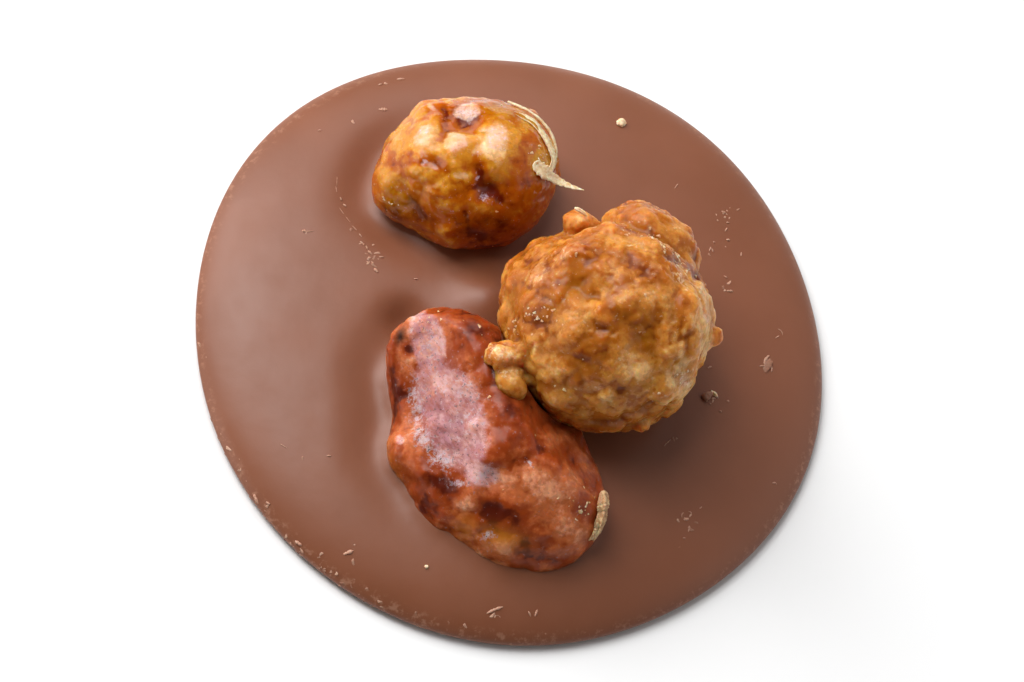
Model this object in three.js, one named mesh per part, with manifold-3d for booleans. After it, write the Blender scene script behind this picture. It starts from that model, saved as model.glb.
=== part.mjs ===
// Chocolate nut disc: a poured disc of milk chocolate, flat underneath and domed on top, with an
// almond and two hazelnuts in caramel coats that were pressed into its face while it was soft.
// Millimetres, +Z up. The origin is the centre of the flat underside.
import * as THREE from "three";
import { mergeVertices } from "three/addons/utils/BufferGeometryUtils.js";
import Module from "manifold-3d";

const wasm = await Module();
wasm.setup();

// ---- Driving dimensions ---------------------------------------------------------------------

const DISC_DIAMETER = 54;
const DISC_HEIGHT = 4.9; // at the crown, away from the nuts
const EDGE_HEIGHT = 0.75; // where the disc is widest
const FOOT_INSET = 0.7; // the flat underside ends this far inside the edge
const SHOULDER = 2.7; // larger keeps the face flat further out
const SHOULDER_ROUND = 0.62; // smaller makes the shoulder squarer
const AROUND = 80; // steps round the disc
const ACROSS = 18; // steps from the crown to the edge
const SMOOTH_BORDER = 2.5; // the face's dents and lips fade out over this width inside the edge

// The outline is a circle with a few slow waves: how many round the disc, how high, turned how far.
const EDGE_WAVES = [
  { count: 3, height: 0.15, turn: 45 },
  { count: 4, height: 0.15, turn: -145 },
  { count: 5, height: 0.12, turn: -90 },
];

const SEAT_GAP = 0.3; // between a nut and the hollow that it sits in
const LIP_HEIGHT = 0.35; // the chocolate climbs this far up a nut
const LIP_WIDTH = 1.6;
const DENT_DEPTH = 0.8; // the ring round a nut where the chocolate sank
const DENT_AT = 1.4; // from the nut's skin
const DENT_WIDTH = 2.3;

// Slow rises and hollows of the chocolate between the nuts: place, height, width.
const SWELLS = [
  { at: [-4.4, 3.4], height: 0.7, width: 2.4 },
  { at: [-10.6, 1.3], height: -0.5, width: 2.3 },
  { at: [-12.5, -11.2], height: 0.5, width: 1.7 },
];

// Every nut is drawn with its best side up, and is then tipped towards the near left of the disc.
const TIP_ANGLE = 26.7;
const TIP_TOWARDS = -116.7;

// A nut's half sizes run along its length, its width and its height. Longitude is counted
// anticlockwise from +X and latitude up from the nut's widest line.
// Bumps are [longitude, latitude, height, spread in degrees], and facets, the flat cheeks that
// the coat left and the belly that was pressed flat, are [longitude, latitude, distance from the centre].
// Lobes are lumps fused to the coat: [x, y, z, radius] from the nut's centre.
const ALMOND = {
  name: "almond",
  centre: [-3.41, -11.01, 5.6],
  halfSizes: [12.5, 7.6, 5.4],
  turn: -53.4,
  softness: 0.5,
  facets: [
    [160, 68, 4.5],
    [30, 32, 5.6],
    [205, 30, 6.6],
    [-117, -63, 4.7],
  ],
  bumps: [
    [98, 2, 0.7, 18],
    [157, 4, -2.1, 22],
    [-170, 12, 0.8, 12],
    [-140, 10, 0.3, 14],
    [-75, 20, 0.4, 22],
    [-78, 58, -0.8, 9],
    [150, 30, -0.4, 8],
  ],
  crags: { count: 52, height: 0.34, spread: 10, seed: 7 },
  detail: 8,
};

const GLOSSY_HAZELNUT = {
  name: "glossy_hazelnut",
  centre: [-4.15, 12.95, 7.2],
  halfSizes: [7.7, 6.3, 6.3],
  turn: 0,
  softness: 0.6,
  facets: [
    [90, 58, 6.0],
    [200, 40, 6.7],
  ],
  bumps: [
    [-162, 12, 0.9, 16],
    [123, 5, 0.6, 14],
    [45, 0, 0.5, 18],
    [-50, 15, 0.8, 16],
    [-15, 0, 0.3, 14],
    [-100, 18, 0.4, 14],
    [-30, 66, -0.6, 10],
    [95, 45, -0.5, 14],
    [165, 45, 0.3, 14],
  ],
  crags: { count: 36, height: 0.24, spread: 13, seed: 19 },
  detail: 7,
};

const CRAGGY_HAZELNUT = {
  name: "craggy_hazelnut",
  centre: [6.49, -2.21, 11.2],
  halfSizes: [9.0, 9.1, 8.5],
  turn: 0,
  softness: 0.6,
  facets: [],
  bumps: [
    [150, 0, 0.6, 20],
    [62, 4, -1.1, 24],
    [22, 0, -0.7, 11],
    [118, 66, -0.7, 15],
    [-40, 62, -0.5, 12],
    [35, 30, -0.5, 9],
    [60, 30, 0.5, 12],
  ],
  crags: { count: 90, height: 0.5, spread: 9, seed: 31 },
  lobes: [
    [2.1, 4.9, -2.2, 5.4],
    [-2.2, 9.4, -0.8, 1.7],
    [8.9, -0.7, 0.6, 0.9],
    [2.4, -8.6, 1.0, 0.75],
    [-9.0, -2.9, 3.0, 1.7],
    [-8.1, -4.9, 3.4, 1.4],
  ],
  detail: 9,
};

const NUTS = [ALMOND, GLOSSY_HAZELNUT, CRAGGY_HAZELNUT];

// The pale flake of coat that stands off the glossy hazelnut, from its root to its tip:
// [longitude, latitude, height over the skin].
const FLAKE_PATH = [
  [66, 12, 0],
  [42, 12, 0.15],
  [27, 18, 0.25],
  [13, 20, 0.3],
  [3, 30, 0.2],
  [-3, 20, 0.35],
  [-8, 8, 1.5],
];
const FLAKE_HALF_WIDTH = 0.6;
const FLAKE_HALF_THICKNESS = 0.3;

// The shard of bare wood at the almond's far end: thickness, length, depth.
const SHARD_SIZE = [1.0, 4.4, 2.4];
const SHARD_CENTRE = [9.5, -5.9, 1.4];
const SHARD_TURN = -14;

const COLOURS = {
  chocolate: { color: 0x8a5a45, roughness: 0.42, metalness: 0 },
  red_caramel: { color: 0x8c3a22, roughness: 0.3, metalness: 0 },
  amber_caramel: { color: 0xa8641a, roughness: 0.25, metalness: 0 },
  golden_caramel: { color: 0xb87a34, roughness: 0.45, metalness: 0 },
};

// ---- Helpers --------------------------------------------------------------------------------

const radians = THREE.MathUtils.degToRad;

// The unit direction at a longitude and latitude in degrees.
function direction(longitude, latitude) {
  const level = Math.cos(radians(latitude));
  return new THREE.Vector3(
    level * Math.cos(radians(longitude)),
    level * Math.sin(radians(longitude)),
    Math.sin(radians(latitude)),
  );
}

// Numbers from 0 to 1 that come out the same for the same seed.
function seededNumbers(seed) {
  let state = seed;
  return () => {
    state = (state * 1664525 + 1013904223) % 4294967296;
    return state / 4294967296;
  };
}

// A closed mesh's geometry as a solid that can be cut and joined.
function toSolid(geometry) {
  const bare = geometry.clone();
  bare.deleteAttribute("normal");
  bare.deleteAttribute("uv");
  const merged = mergeVertices(bare, 1e-4);
  return new wasm.Manifold(
    new wasm.Mesh({
      numProp: 3,
      vertProperties: new Float32Array(merged.attributes.position.array),
      triVerts: new Uint32Array(merged.index.array),
    }),
  );
}

// The solid back as a geometry.
function toGeometry(solid) {
  const mesh = solid.getMesh();
  const geometry = new THREE.BufferGeometry();
  geometry.setAttribute("position", new THREE.BufferAttribute(mesh.vertProperties, 3));
  geometry.setIndex(new THREE.BufferAttribute(mesh.triVerts, 1));
  geometry.computeVertexNormals();
  return geometry;
}

const tip = new THREE.Quaternion().setFromUnitVectors(
  new THREE.Vector3(0, 0, 1),
  direction(TIP_TOWARDS, 90 - TIP_ANGLE),
);

// Carries a nut's own geometry to its place in the disc.
function seat(geometry, nut) {
  return geometry.applyQuaternion(tip).translate(...nut.centre);
}

// ---- Nuts -----------------------------------------------------------------------------------

// The crags of a coat: small bumps spread evenly over the nut and then shuffled a little.
function cragBumps({ count, height, spread, seed }) {
  const next = seededNumbers(seed);
  const goldenAngle = 180 * (3 - Math.sqrt(5));
  const spacing = 360 / Math.sqrt(Math.PI * count);
  return Array.from({ length: count }, (_, i) => {
    const latitude = THREE.MathUtils.radToDeg(Math.asin(1 - (2 * (i + 0.5)) / count));
    const longitude = i * goldenAngle + (next() - 0.5) * spacing;
    const rise = height * (2 * next() - 0.8);
    return [longitude, latitude + (next() - 0.5) * spacing, rise, spread * (0.6 + 0.8 * next())];
  });
}

// A nut's reach: how far its skin lies from its centre in a unit direction.
function nutReach(nut) {
  const [length, width, height] = nut.halfSizes;
  const turn = radians(nut.turn);
  const bumps = [...nut.bumps, ...cragBumps(nut.crags)].map(([longitude, latitude, rise, spread]) => ({
    towards: direction(longitude, latitude),
    rise,
    tightness: 1 / (1 - Math.cos(radians(spread))),
  }));
  const facets = nut.facets.map(([longitude, latitude, distance]) => ({
    towards: direction(longitude, latitude),
    distance,
  }));
  return (d) => {
    const along = d.x * Math.cos(turn) + d.y * Math.sin(turn);
    const aside = d.y * Math.cos(turn) - d.x * Math.sin(turn);
    let reach = 1 / Math.hypot(along / length, aside / width, d.z / height);
    for (const { towards, distance } of facets) {
      const facing = d.dot(towards);
      if (facing > 0.2) reach = softMin(reach, distance / facing, nut.softness);
    }
    for (const { towards, rise, tightness } of bumps) {
      reach += rise * Math.exp((d.dot(towards) - 1) * tightness);
    }
    return reach;
  };
}

// The smaller of two numbers, rounded over where they are nearly equal.
function softMin(a, b, softness) {
  const near = Math.max(softness - Math.abs(a - b), 0) / softness;
  return Math.min(a, b) - (near * near * softness) / 4;
}

// The nut's main body, its skin moved out by grow.
function nutBody(nut, grow) {
  const geometry = new THREE.IcosahedronGeometry(1, nut.detail);
  const reach = nutReach(nut);
  const points = geometry.attributes.position;
  const d = new THREE.Vector3();
  for (let i = 0; i < points.count; i++) {
    d.fromBufferAttribute(points, i).normalize();
    const r = reach(d) + grow;
    points.setXYZ(i, d.x * r, d.y * r, d.z * r);
  }
  return geometry;
}

// The nut's main body as a solid, in place in the disc.
function bodySolid(nut, grow = 0) {
  return toSolid(seat(nutBody(nut, grow), nut));
}

// One of the nut's lobes as a solid, in place in the disc.
function lobeSolid(nut, [x, y, z, radius]) {
  const steps = Math.round(1 + radius);
  return toSolid(seat(new THREE.IcosahedronGeometry(radius, steps).translate(x, y, z), nut));
}

// The flake: a thin lens-shaped strip swept along its path over the skin.
function flakeSolid() {
  const section = new THREE.Shape();
  section.absellipse(0, 0, FLAKE_HALF_THICKNESS, FLAKE_HALF_WIDTH, 0, 2 * Math.PI, false, 0);
  const reach = nutReach(GLOSSY_HAZELNUT);
  const stations = FLAKE_PATH.map(([longitude, latitude, lift]) => {
    const towards = direction(longitude, latitude);
    return towards.multiplyScalar(reach(towards) + lift);
  });
  const strip = new THREE.ExtrudeGeometry(section, {
    steps: 16,
    curveSegments: 2,
    bevelEnabled: false,
    extrudePath: new THREE.CatmullRomCurve3(stations),
  });
  return toSolid(seat(strip, GLOSSY_HAZELNUT));
}

// The shard: a splinter that narrows to both ends.
function shardSolid() {
  const [thickness, length, depth] = SHARD_SIZE;
  const splinter = new THREE.CylinderGeometry(0.5, 0.28, 1, 6, 2);
  splinter.scale(thickness, length, depth).rotateZ(radians(SHARD_TURN)).translate(...SHARD_CENTRE);
  return toSolid(seat(splinter, ALMOND));
}

// ---- Chocolate ------------------------------------------------------------------------------

// The outline's radius at an angle round the disc.
function edgeRadius(angle) {
  return EDGE_WAVES.reduce(
    (radius, { count, height, turn }) => radius + height * Math.cos(count * angle - radians(turn)),
    DISC_DIAMETER / 2,
  );
}

// The line where a nut goes into the face, as its distance from the nut's centre in even steps round it.
function contactLine(nut) {
  const steps = 72;
  const reach = nutReach(nut);
  const untip = tip.clone().invert();
  const level = DISC_HEIGHT - nut.centre[2];
  const isInside = (across, angle) => {
    const offset = new THREE.Vector3(across * Math.cos(angle), across * Math.sin(angle), level);
    return offset.length() < reach(offset.clone().normalize().applyQuaternion(untip));
  };
  return Array.from({ length: steps }, (_, i) => {
    const angle = (2 * Math.PI * i) / steps;
    let near = 0;
    let far = 2 * nut.halfSizes[0];
    while (far - near > 0.01) {
      const middle = (near + far) / 2;
      if (isInside(middle, angle)) near = middle;
      else far = middle;
    }
    return near;
  });
}

// How far a point of the face lies outside a nut's contact line, negative under the nut.
function contactDistance(line, nut, x, y) {
  const dx = x - nut.centre[0];
  const dy = y - nut.centre[1];
  const place = (Math.atan2(dy, dx) / (2 * Math.PI) + 1) * line.length;
  const before = line[Math.floor(place) % line.length];
  const after = line[(Math.floor(place) + 1) % line.length];
  const radius = THREE.MathUtils.lerp(before, after, place % 1);
  const slant = ((after - before) * line.length) / (2 * Math.PI * radius);
  return (Math.hypot(dx, dy) - radius) / Math.hypot(1, slant);
}

// How far the face rises or sinks at a point because of the nuts and the swells.
function relief(x, y, contacts) {
  let rise = 0;
  for (const { nut, line } of contacts) {
    const apart = contactDistance(line, nut, x, y);
    rise += LIP_HEIGHT * Math.exp(-Math.max(apart, 0) / LIP_WIDTH);
    rise -= DENT_DEPTH * Math.exp(-(((apart - DENT_AT) / DENT_WIDTH) ** 2));
  }
  for (const { at, height, width } of SWELLS) {
    rise += height * Math.exp(-((x - at[0]) ** 2 + (y - at[1]) ** 2) / width ** 2);
  }
  return rise;
}

// The disc before the nuts are pressed in: a turned profile whose rim waves and whose face has relief.
function discBody() {
  const half = DISC_DIAMETER / 2;
  const profile = [[0, 0]];
  for (const turn of [0, 45, 90].map(radians)) {
    profile.push([half - FOOT_INSET * (1 - Math.sin(turn)), EDGE_HEIGHT * (1 - Math.cos(turn))]);
  }
  const firstOfFace = profile.length;
  for (let i = 1; i <= ACROSS; i++) {
    const share = Math.sin(((1 - i / ACROSS) * Math.PI) / 2) ** 0.9;
    const fall = (1 - share ** SHOULDER) ** SHOULDER_ROUND;
    profile.push([half * share, EDGE_HEIGHT + (DISC_HEIGHT - EDGE_HEIGHT) * fall]);
  }
  profile[profile.length - 1][0] = 0;
  const turned = new THREE.LatheGeometry(
    profile.map(([r, z]) => new THREE.Vector2(r, z)),
    AROUND,
  ).rotateX(Math.PI / 2);
  const contacts = NUTS.map((nut) => ({ nut, line: contactLine(nut) }));
  const points = turned.attributes.position;
  for (let i = 0; i < points.count; i++) {
    const ring = i % profile.length;
    const angle = Math.atan2(points.getY(i), points.getX(i));
    const radius = Math.hypot(points.getX(i), points.getY(i));
    const wave = radius < 1e-6 ? 1 : edgeRadius(angle) / half;
    const x = points.getX(i) * wave;
    const y = points.getY(i) * wave;
    const fade = Math.min(1, (half - radius) / SMOOTH_BORDER);
    const rise = ring >= firstOfFace ? relief(x, y, contacts) * fade : 0;
    points.setXYZ(i, x, y, points.getZ(i) + rise);
  }
  return toSolid(turned);
}

// ---- The whole ------------------------------------------------------------------------------

const almond = bodySolid(ALMOND).add(shardSolid()).subtract(bodySolid(CRAGGY_HAZELNUT, SEAT_GAP));
const glossyHazelnut = bodySolid(GLOSSY_HAZELNUT).add(flakeSolid());
const almondSeat = bodySolid(ALMOND, SEAT_GAP);
const craggyHazelnut = CRAGGY_HAZELNUT.lobes.reduce(
  (solid, lobe) => solid.add(lobeSolid(CRAGGY_HAZELNUT, lobe).subtract(almondSeat)),
  bodySolid(CRAGGY_HAZELNUT),
);
const chocolate = NUTS.reduce(
  (disc, nut) => disc.subtract(bodySolid(nut, SEAT_GAP)),
  discBody(),
);

// A named mesh of a solid in one of the colours.
function piece(name, solid, colour) {
  const mesh = new THREE.Mesh(toGeometry(solid), new THREE.MeshStandardMaterial(COLOURS[colour]));
  mesh.name = name;
  return mesh;
}

const chocolateNutDisc = new THREE.Group();
chocolateNutDisc.add(
  piece("chocolate_disc", chocolate, "chocolate"),
  piece(ALMOND.name, almond, "red_caramel"),
  piece(GLOSSY_HAZELNUT.name, glossyHazelnut, "amber_caramel"),
  piece(CRAGGY_HAZELNUT.name, craggyHazelnut, "golden_caramel"),
);

export default chocolateNutDisc;
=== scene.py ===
"""A poured disc of milk chocolate with an almond and two hazelnuts in caramel coats, seen from above.

The chocolate climbs a little way up each nut and sinks in a ring round it. The nuts are craggy
lumps of boiled sugar: a golden and grainy one, a glossy amber one with a papery flake of skin,
and a red-brown almond with a milky bloom. Crumbs of chocolate and grains of sugar lie on them.
Sizes are in millimetres, and become metres where a mesh is made.
"""

import logging
import math
from dataclasses import dataclass
from enum import Enum
from typing import Any

import bpy
import numpy as np
from mathutils import Matrix, Vector
from mathutils.bvhtree import BVHTree


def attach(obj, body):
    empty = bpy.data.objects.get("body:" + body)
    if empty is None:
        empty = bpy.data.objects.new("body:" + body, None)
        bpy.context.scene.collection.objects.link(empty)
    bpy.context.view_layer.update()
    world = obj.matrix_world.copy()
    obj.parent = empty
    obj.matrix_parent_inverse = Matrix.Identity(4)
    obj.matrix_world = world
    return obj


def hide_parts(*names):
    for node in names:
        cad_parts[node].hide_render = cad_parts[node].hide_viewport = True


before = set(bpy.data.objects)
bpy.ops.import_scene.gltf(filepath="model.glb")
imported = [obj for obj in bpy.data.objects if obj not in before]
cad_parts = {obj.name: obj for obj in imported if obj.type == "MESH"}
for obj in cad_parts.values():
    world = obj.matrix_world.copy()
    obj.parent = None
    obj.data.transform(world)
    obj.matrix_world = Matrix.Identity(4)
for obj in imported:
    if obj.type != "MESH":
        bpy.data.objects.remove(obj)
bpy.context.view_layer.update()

LOG = logging.getLogger("chocolate_nut_disc")
MM = 0.001
BODY = "root"

Array = np.ndarray
Pair = tuple[float, float]
Triple = tuple[float, float, float]
Inputs = dict[str | int, Any]
Object = bpy.types.Object
Material = bpy.types.Material
Socket = bpy.types.NodeSocket

# Every nut is shaped with its best side up, and is then tipped towards the near left of the disc.
TIP_ANGLE = 26.7
TIP_TOWARDS = -116.7


# ---- Small helpers --------------------------------------------------------------------------


def colour(code: str) -> tuple[float, float, float, float]:
    """Turn a screen colour into the linear one that a shader takes.

    Args:
        code: six hexadecimal digits.

    Returns:
        Linear red, green, blue and an alpha of 1.
    """
    screen = [int(code[i : i + 2], 16) / 255 for i in (0, 2, 4)]
    linear = [c / 12.92 if c <= 0.04045 else ((c + 0.055) / 1.055) ** 2.4 for c in screen]
    return (*linear, 1.0)


def heading(longitude: float, latitude: float) -> Array:
    """Unit direction at a longitude and latitude in degrees."""
    turn, climb = math.radians(longitude), math.radians(latitude)
    return np.array([math.cos(climb) * math.cos(turn), math.cos(climb) * math.sin(turn), math.sin(climb)])


def bell(distance: Array, width: float) -> Array:
    """Height of a bell curve of that width, 1 in its middle."""
    return np.exp(-((distance / width) ** 2))


def away_from(at: Pair, points: Array) -> Array:
    """Level distance of each point from a place."""
    return np.hypot(points[:, 0] - at[0], points[:, 1] - at[1])


def soft_min(first: Array, second: Array, softness: float) -> Array:
    """The smaller of two arrays, rounded over where they are nearly equal."""
    near = np.maximum(softness - np.abs(first - second), 0) / softness
    return np.minimum(first, second) - near * near * softness / 4


def seeded_numbers(seed: int, count: int) -> list[float]:
    """Numbers from 0 to 1 that come out the same for the same seed.

    Args:
        seed: where the row of numbers starts.
        count: how many numbers.

    Returns:
        The numbers in their order.
    """
    numbers, state = [], seed
    for _ in range(count):
        state = (state * 1664525 + 1013904223) % 2**32
        numbers.append(state / 2**32)
    return numbers


def upright_turn(degrees: float) -> Array:
    """Rotation round the upright axis."""
    return np.array(Matrix.Rotation(math.radians(degrees), 3, "Z"))


def tip_matrix() -> Array:
    """Rotation that carries a nut from best side up to how it lies in the disc."""
    towards = Vector(heading(TIP_TOWARDS, 90 - TIP_ANGLE))
    return np.array(Vector((0, 0, 1)).rotation_difference(towards).to_matrix())


def cube_sphere(steps: int) -> tuple[Array, Array]:
    """Spread unit directions evenly, as the points of a cube blown up into a ball.

    Args:
        steps: quads along each edge of the cube.

    Returns:
        The directions, and the quads between them as rows of four indices.
    """
    across = np.arange(steps + 1)
    a, b = (grid.ravel() for grid in np.meshgrid(across, across, indexing="ij"))
    low, high = np.zeros_like(a), np.full_like(a, steps)
    sheets = [(high, a, b), (low, b, a), (b, high, a), (a, low, b), (a, b, high), (b, a, low)]
    corners = np.concatenate([np.stack(sheet, axis=1) for sheet in sheets])
    start = (across[:-1, None] * (steps + 1) + across[None, :-1]).ravel()
    quad = np.stack([start, start + steps + 1, start + steps + 2, start + 1], axis=1)
    quads = np.concatenate([quad + k * (steps + 1) ** 2 for k in range(6)])
    lattice, index = np.unique(corners, axis=0, return_inverse=True)
    directions = np.tan((lattice / steps - 0.5) * math.pi / 2)
    directions /= np.linalg.norm(directions, axis=1, keepdims=True)
    return directions, index.ravel()[quads]


def mesh_object(name: str, points: Array, faces: Array | list) -> Object:
    """Make an object of points in millimetres and link it to the scene.

    Args:
        name: the object's and the mesh's name.
        points: one row of x, y and z for each point.
        faces: rows of point indices, anticlockwise seen from outside.

    Returns:
        The object, at the origin, with smooth faces.
    """
    mesh = bpy.data.meshes.new(name)
    rows = faces.tolist() if isinstance(faces, np.ndarray) else faces
    mesh.from_pydata((points * MM).tolist(), [], rows)
    mesh.shade_smooth()
    obj = bpy.data.objects.new(name, mesh)
    bpy.context.collection.objects.link(obj)
    return obj


def tube_faces(stations: int, sides: int, first: int = 0) -> list[list[int]]:
    """Faces of a closed tube whose points lie ring by ring.

    Args:
        stations: how many rings.
        sides: points in a ring.
        first: index of its first point.

    Returns:
        The faces of its wall and of its two ends.
    """
    faces = []
    for start in range(first, first + (stations - 1) * sides, sides):
        for k in range(sides):
            p, q = start + k, start + (k + 1) % sides
            faces.append([p, q, q + sides, p + sides])
    last = first + (stations - 1) * sides
    return faces + [list(range(first, first + sides))[::-1], list(range(last, last + sides))]


def points_of(obj: Object) -> Array:
    """The object's mesh points in millimetres, one row each.

    Args:
        obj: the object.

    Returns:
        One row of x, y and z for each point.
    """
    flat = np.empty(len(obj.data.vertices) * 3)
    obj.data.vertices.foreach_get("co", flat)
    return flat.reshape(-1, 3) / MM


def move_points(obj: Object, points: Array) -> None:
    """Put the object's mesh points at these places in millimetres."""
    obj.data.vertices.foreach_set("co", (points * MM).ravel())
    obj.data.update()


def paint(obj: Object, name: str, values: Array) -> None:
    """Store one number for each point of the object's mesh under that name."""
    layer = obj.data.attributes.get(name) or obj.data.attributes.new(name, "FLOAT", "POINT")
    layer.data.foreach_set("value", values.astype(np.float32))


def settle(obj: Object) -> None:
    """Turn the object's modifiers into plain mesh and remove them.

    Args:
        obj: the object.
    """
    graph = bpy.context.evaluated_depsgraph_get()
    result = bpy.data.meshes.new_from_object(
        obj.evaluated_get(graph), preserve_all_data_layers=True, depsgraph=graph
    )
    before = obj.data
    obj.modifiers.clear()
    obj.data = result
    name = before.name
    bpy.data.meshes.remove(before)
    result.name = name


def discard(*objects: Object) -> None:
    """Remove helper objects and their meshes."""
    for obj in objects:
        mesh = obj.data
        bpy.data.objects.remove(obj)
        bpy.data.meshes.remove(mesh)


# ---- Node trees -----------------------------------------------------------------------------


class Bench:
    """Places nodes in one tree and links them."""

    def __init__(self, tree: bpy.types.NodeTree) -> None:
        """Work on that tree."""
        self.tree = tree

    def node(self, kind: str, inputs: Inputs | None = None, **settings: Any) -> bpy.types.Node:
        """Place a node.

        Args:
            kind: the node's type name.
            inputs: values or sockets for its inputs, by name or position.
            **settings: the node's own properties.

        Returns:
            The new node.
        """
        node = self.tree.nodes.new(kind)
        for name, value in settings.items():
            setattr(node, name, value)
        self.fill(node, inputs or {})
        return node

    def fill(self, node: bpy.types.Node, inputs: Inputs) -> None:
        """Link a node's inputs to sockets, or set their own values.

        Args:
            node: the node.
            inputs: values or sockets by name or position.
        """
        for key, value in inputs.items():
            if isinstance(value, Socket):
                self.tree.links.new(value, node.inputs[key])
            else:
                node.inputs[key].default_value = value

    def math(self, operation: str, *terms: Any, clamp: bool = False) -> Socket:
        """Result of a Math node on up to three terms."""
        node = self.node("ShaderNodeMath", dict(enumerate(terms)), operation=operation, use_clamp=clamp)
        return node.outputs[0]

    def times(self, first: Any, second: Any, clamp: bool = False) -> Socket:
        """Product of two terms."""
        return self.math("MULTIPLY", first, second, clamp=clamp)

    def times_plus(self, first: Any, second: Any, third: Any) -> Socket:
        """Product of two terms and a third added to it."""
        return self.math("MULTIPLY_ADD", first, second, third)

    def minus(self, first: Any, second: Any) -> Socket:
        """First term less the second."""
        return self.math("SUBTRACT", first, second)

    def vector(self, operation: str, *terms: Any, scale: Any = None) -> Socket:
        """Result of a Vector Math node, the number where it gives one.

        Args:
            operation: what the node does.
            *terms: its vectors.
            scale: its number, where it has one.

        Returns:
            The socket of the result.
        """
        node = self.node("ShaderNodeVectorMath", dict(enumerate(terms)), operation=operation)
        if scale is not None:
            self.fill(node, {"Scale": scale})
        return node.outputs[1] if operation in ("LENGTH", "DOT_PRODUCT") else node.outputs[0]

    def band(self, value: Any, low: float, high: float, to_low: float = 0.0,
             to_high: float = 1.0) -> Socket:
        """Value carried smoothly from one range to another and held at its ends.

        Args:
            value: the socket to carry over.
            low: where the result starts to change.
            high: where it stops changing.
            to_low: the result up to low.
            to_high: the result from high.

        Returns:
            The socket of the result.
        """
        places = {"Value": value, 1: low, 2: high, 3: to_low, 4: to_high}
        return self.node("ShaderNodeMapRange", places, interpolation_type="SMOOTHSTEP").outputs[0]


class ShapeTree(Bench):
    """The bench of a Geometry Nodes tree whose sizes are named inputs."""

    def __init__(self, name: str, sizes: dict[str, float]) -> None:
        """Start the tree.

        Args:
            name: the tree's name.
            sizes: its named number inputs with their usual values.
        """
        super().__init__(bpy.data.node_groups.new(name, "GeometryNodeTree"))
        face = self.tree.interface
        face.new_socket("Geometry", in_out="INPUT", socket_type="NodeSocketGeometry")
        self.keys: dict[str, str] = {}
        for label, value in sizes.items():
            kind = "NodeSocketInt" if isinstance(value, int) else "NodeSocketFloat"
            item = face.new_socket(label, in_out="INPUT", socket_type=kind)
            item.default_value = value
            self.keys[label] = item.identifier
        coat = face.new_socket("Material", in_out="INPUT", socket_type="NodeSocketMaterial")
        self.keys["Material"] = coat.identifier
        face.new_socket("Geometry", in_out="OUTPUT", socket_type="NodeSocketGeometry")
        self.entry = self.node("NodeGroupInput")

    def size(self, label: str) -> Socket:
        """Socket of a named input."""
        return self.entry.outputs[label]

    def stored(self, name: str) -> Socket:
        """Number stored on the mesh under that name."""
        kept = self.node("GeometryNodeInputNamedAttribute", {"Name": name}, data_type="FLOAT")
        return kept.outputs[0]

    def chance(self, low: Any, high: Any, seed: Any) -> Socket:
        """Random number between two, another for each grain."""
        inputs = {2: low, 3: high, "Seed": seed}
        return self.node("FunctionNodeRandomValue", inputs, data_type="FLOAT").outputs[1]

    def close(self, geometry: Socket) -> None:
        """End the tree: instances become mesh, and the mesh gets its material.

        Args:
            geometry: what the tree has made.
        """
        realized = self.node("GeometryNodeRealizeInstances", {"Geometry": geometry}).outputs[0]
        inputs = {"Geometry": realized, "Material": self.size("Material")}
        dressed = self.node("GeometryNodeSetMaterial", inputs)
        self.node("NodeGroupOutput", {"Geometry": dressed.outputs[0]})

    def moved(self, geometry: Socket, places: Inputs) -> Socket:
        """Geometry with its points moved by an Offset or to a Position."""
        return self.node("GeometryNodeSetPosition", {"Geometry": geometry, **places}).outputs[0]

    def keep(self, geometry: Socket, name: str, value: Socket, domain: str) -> Socket:
        """Store a number on geometry under a name.

        Args:
            geometry: what it is stored on.
            name: the name that it is read by.
            value: the number, as a field.
            domain: what there is one number for.

        Returns:
            The geometry that holds it.
        """
        inputs = {"Geometry": geometry, "Name": name, "Value": value}
        kept = self.node("GeometryNodeStoreNamedAttribute", inputs, data_type="FLOAT", domain=domain)
        return kept.outputs[0]

    def shape(self, obj: Object, material: Material | None = None, **sizes: float) -> None:
        """Run the object's mesh through the tree and keep the result as plain mesh.

        Args:
            obj: the object whose mesh goes in and is replaced.
            material: the finish that the tree puts on.
            **sizes: values for the named inputs, with _ for each space.
        """
        modifier = obj.modifiers.new(self.tree.name, "NODES")
        modifier.node_group = self.tree
        for label, value in sizes.items():
            modifier[self.keys[label.replace("_", " ")]] = value
        if material:
            modifier[self.keys["Material"]] = material
        settle(obj)


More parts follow.
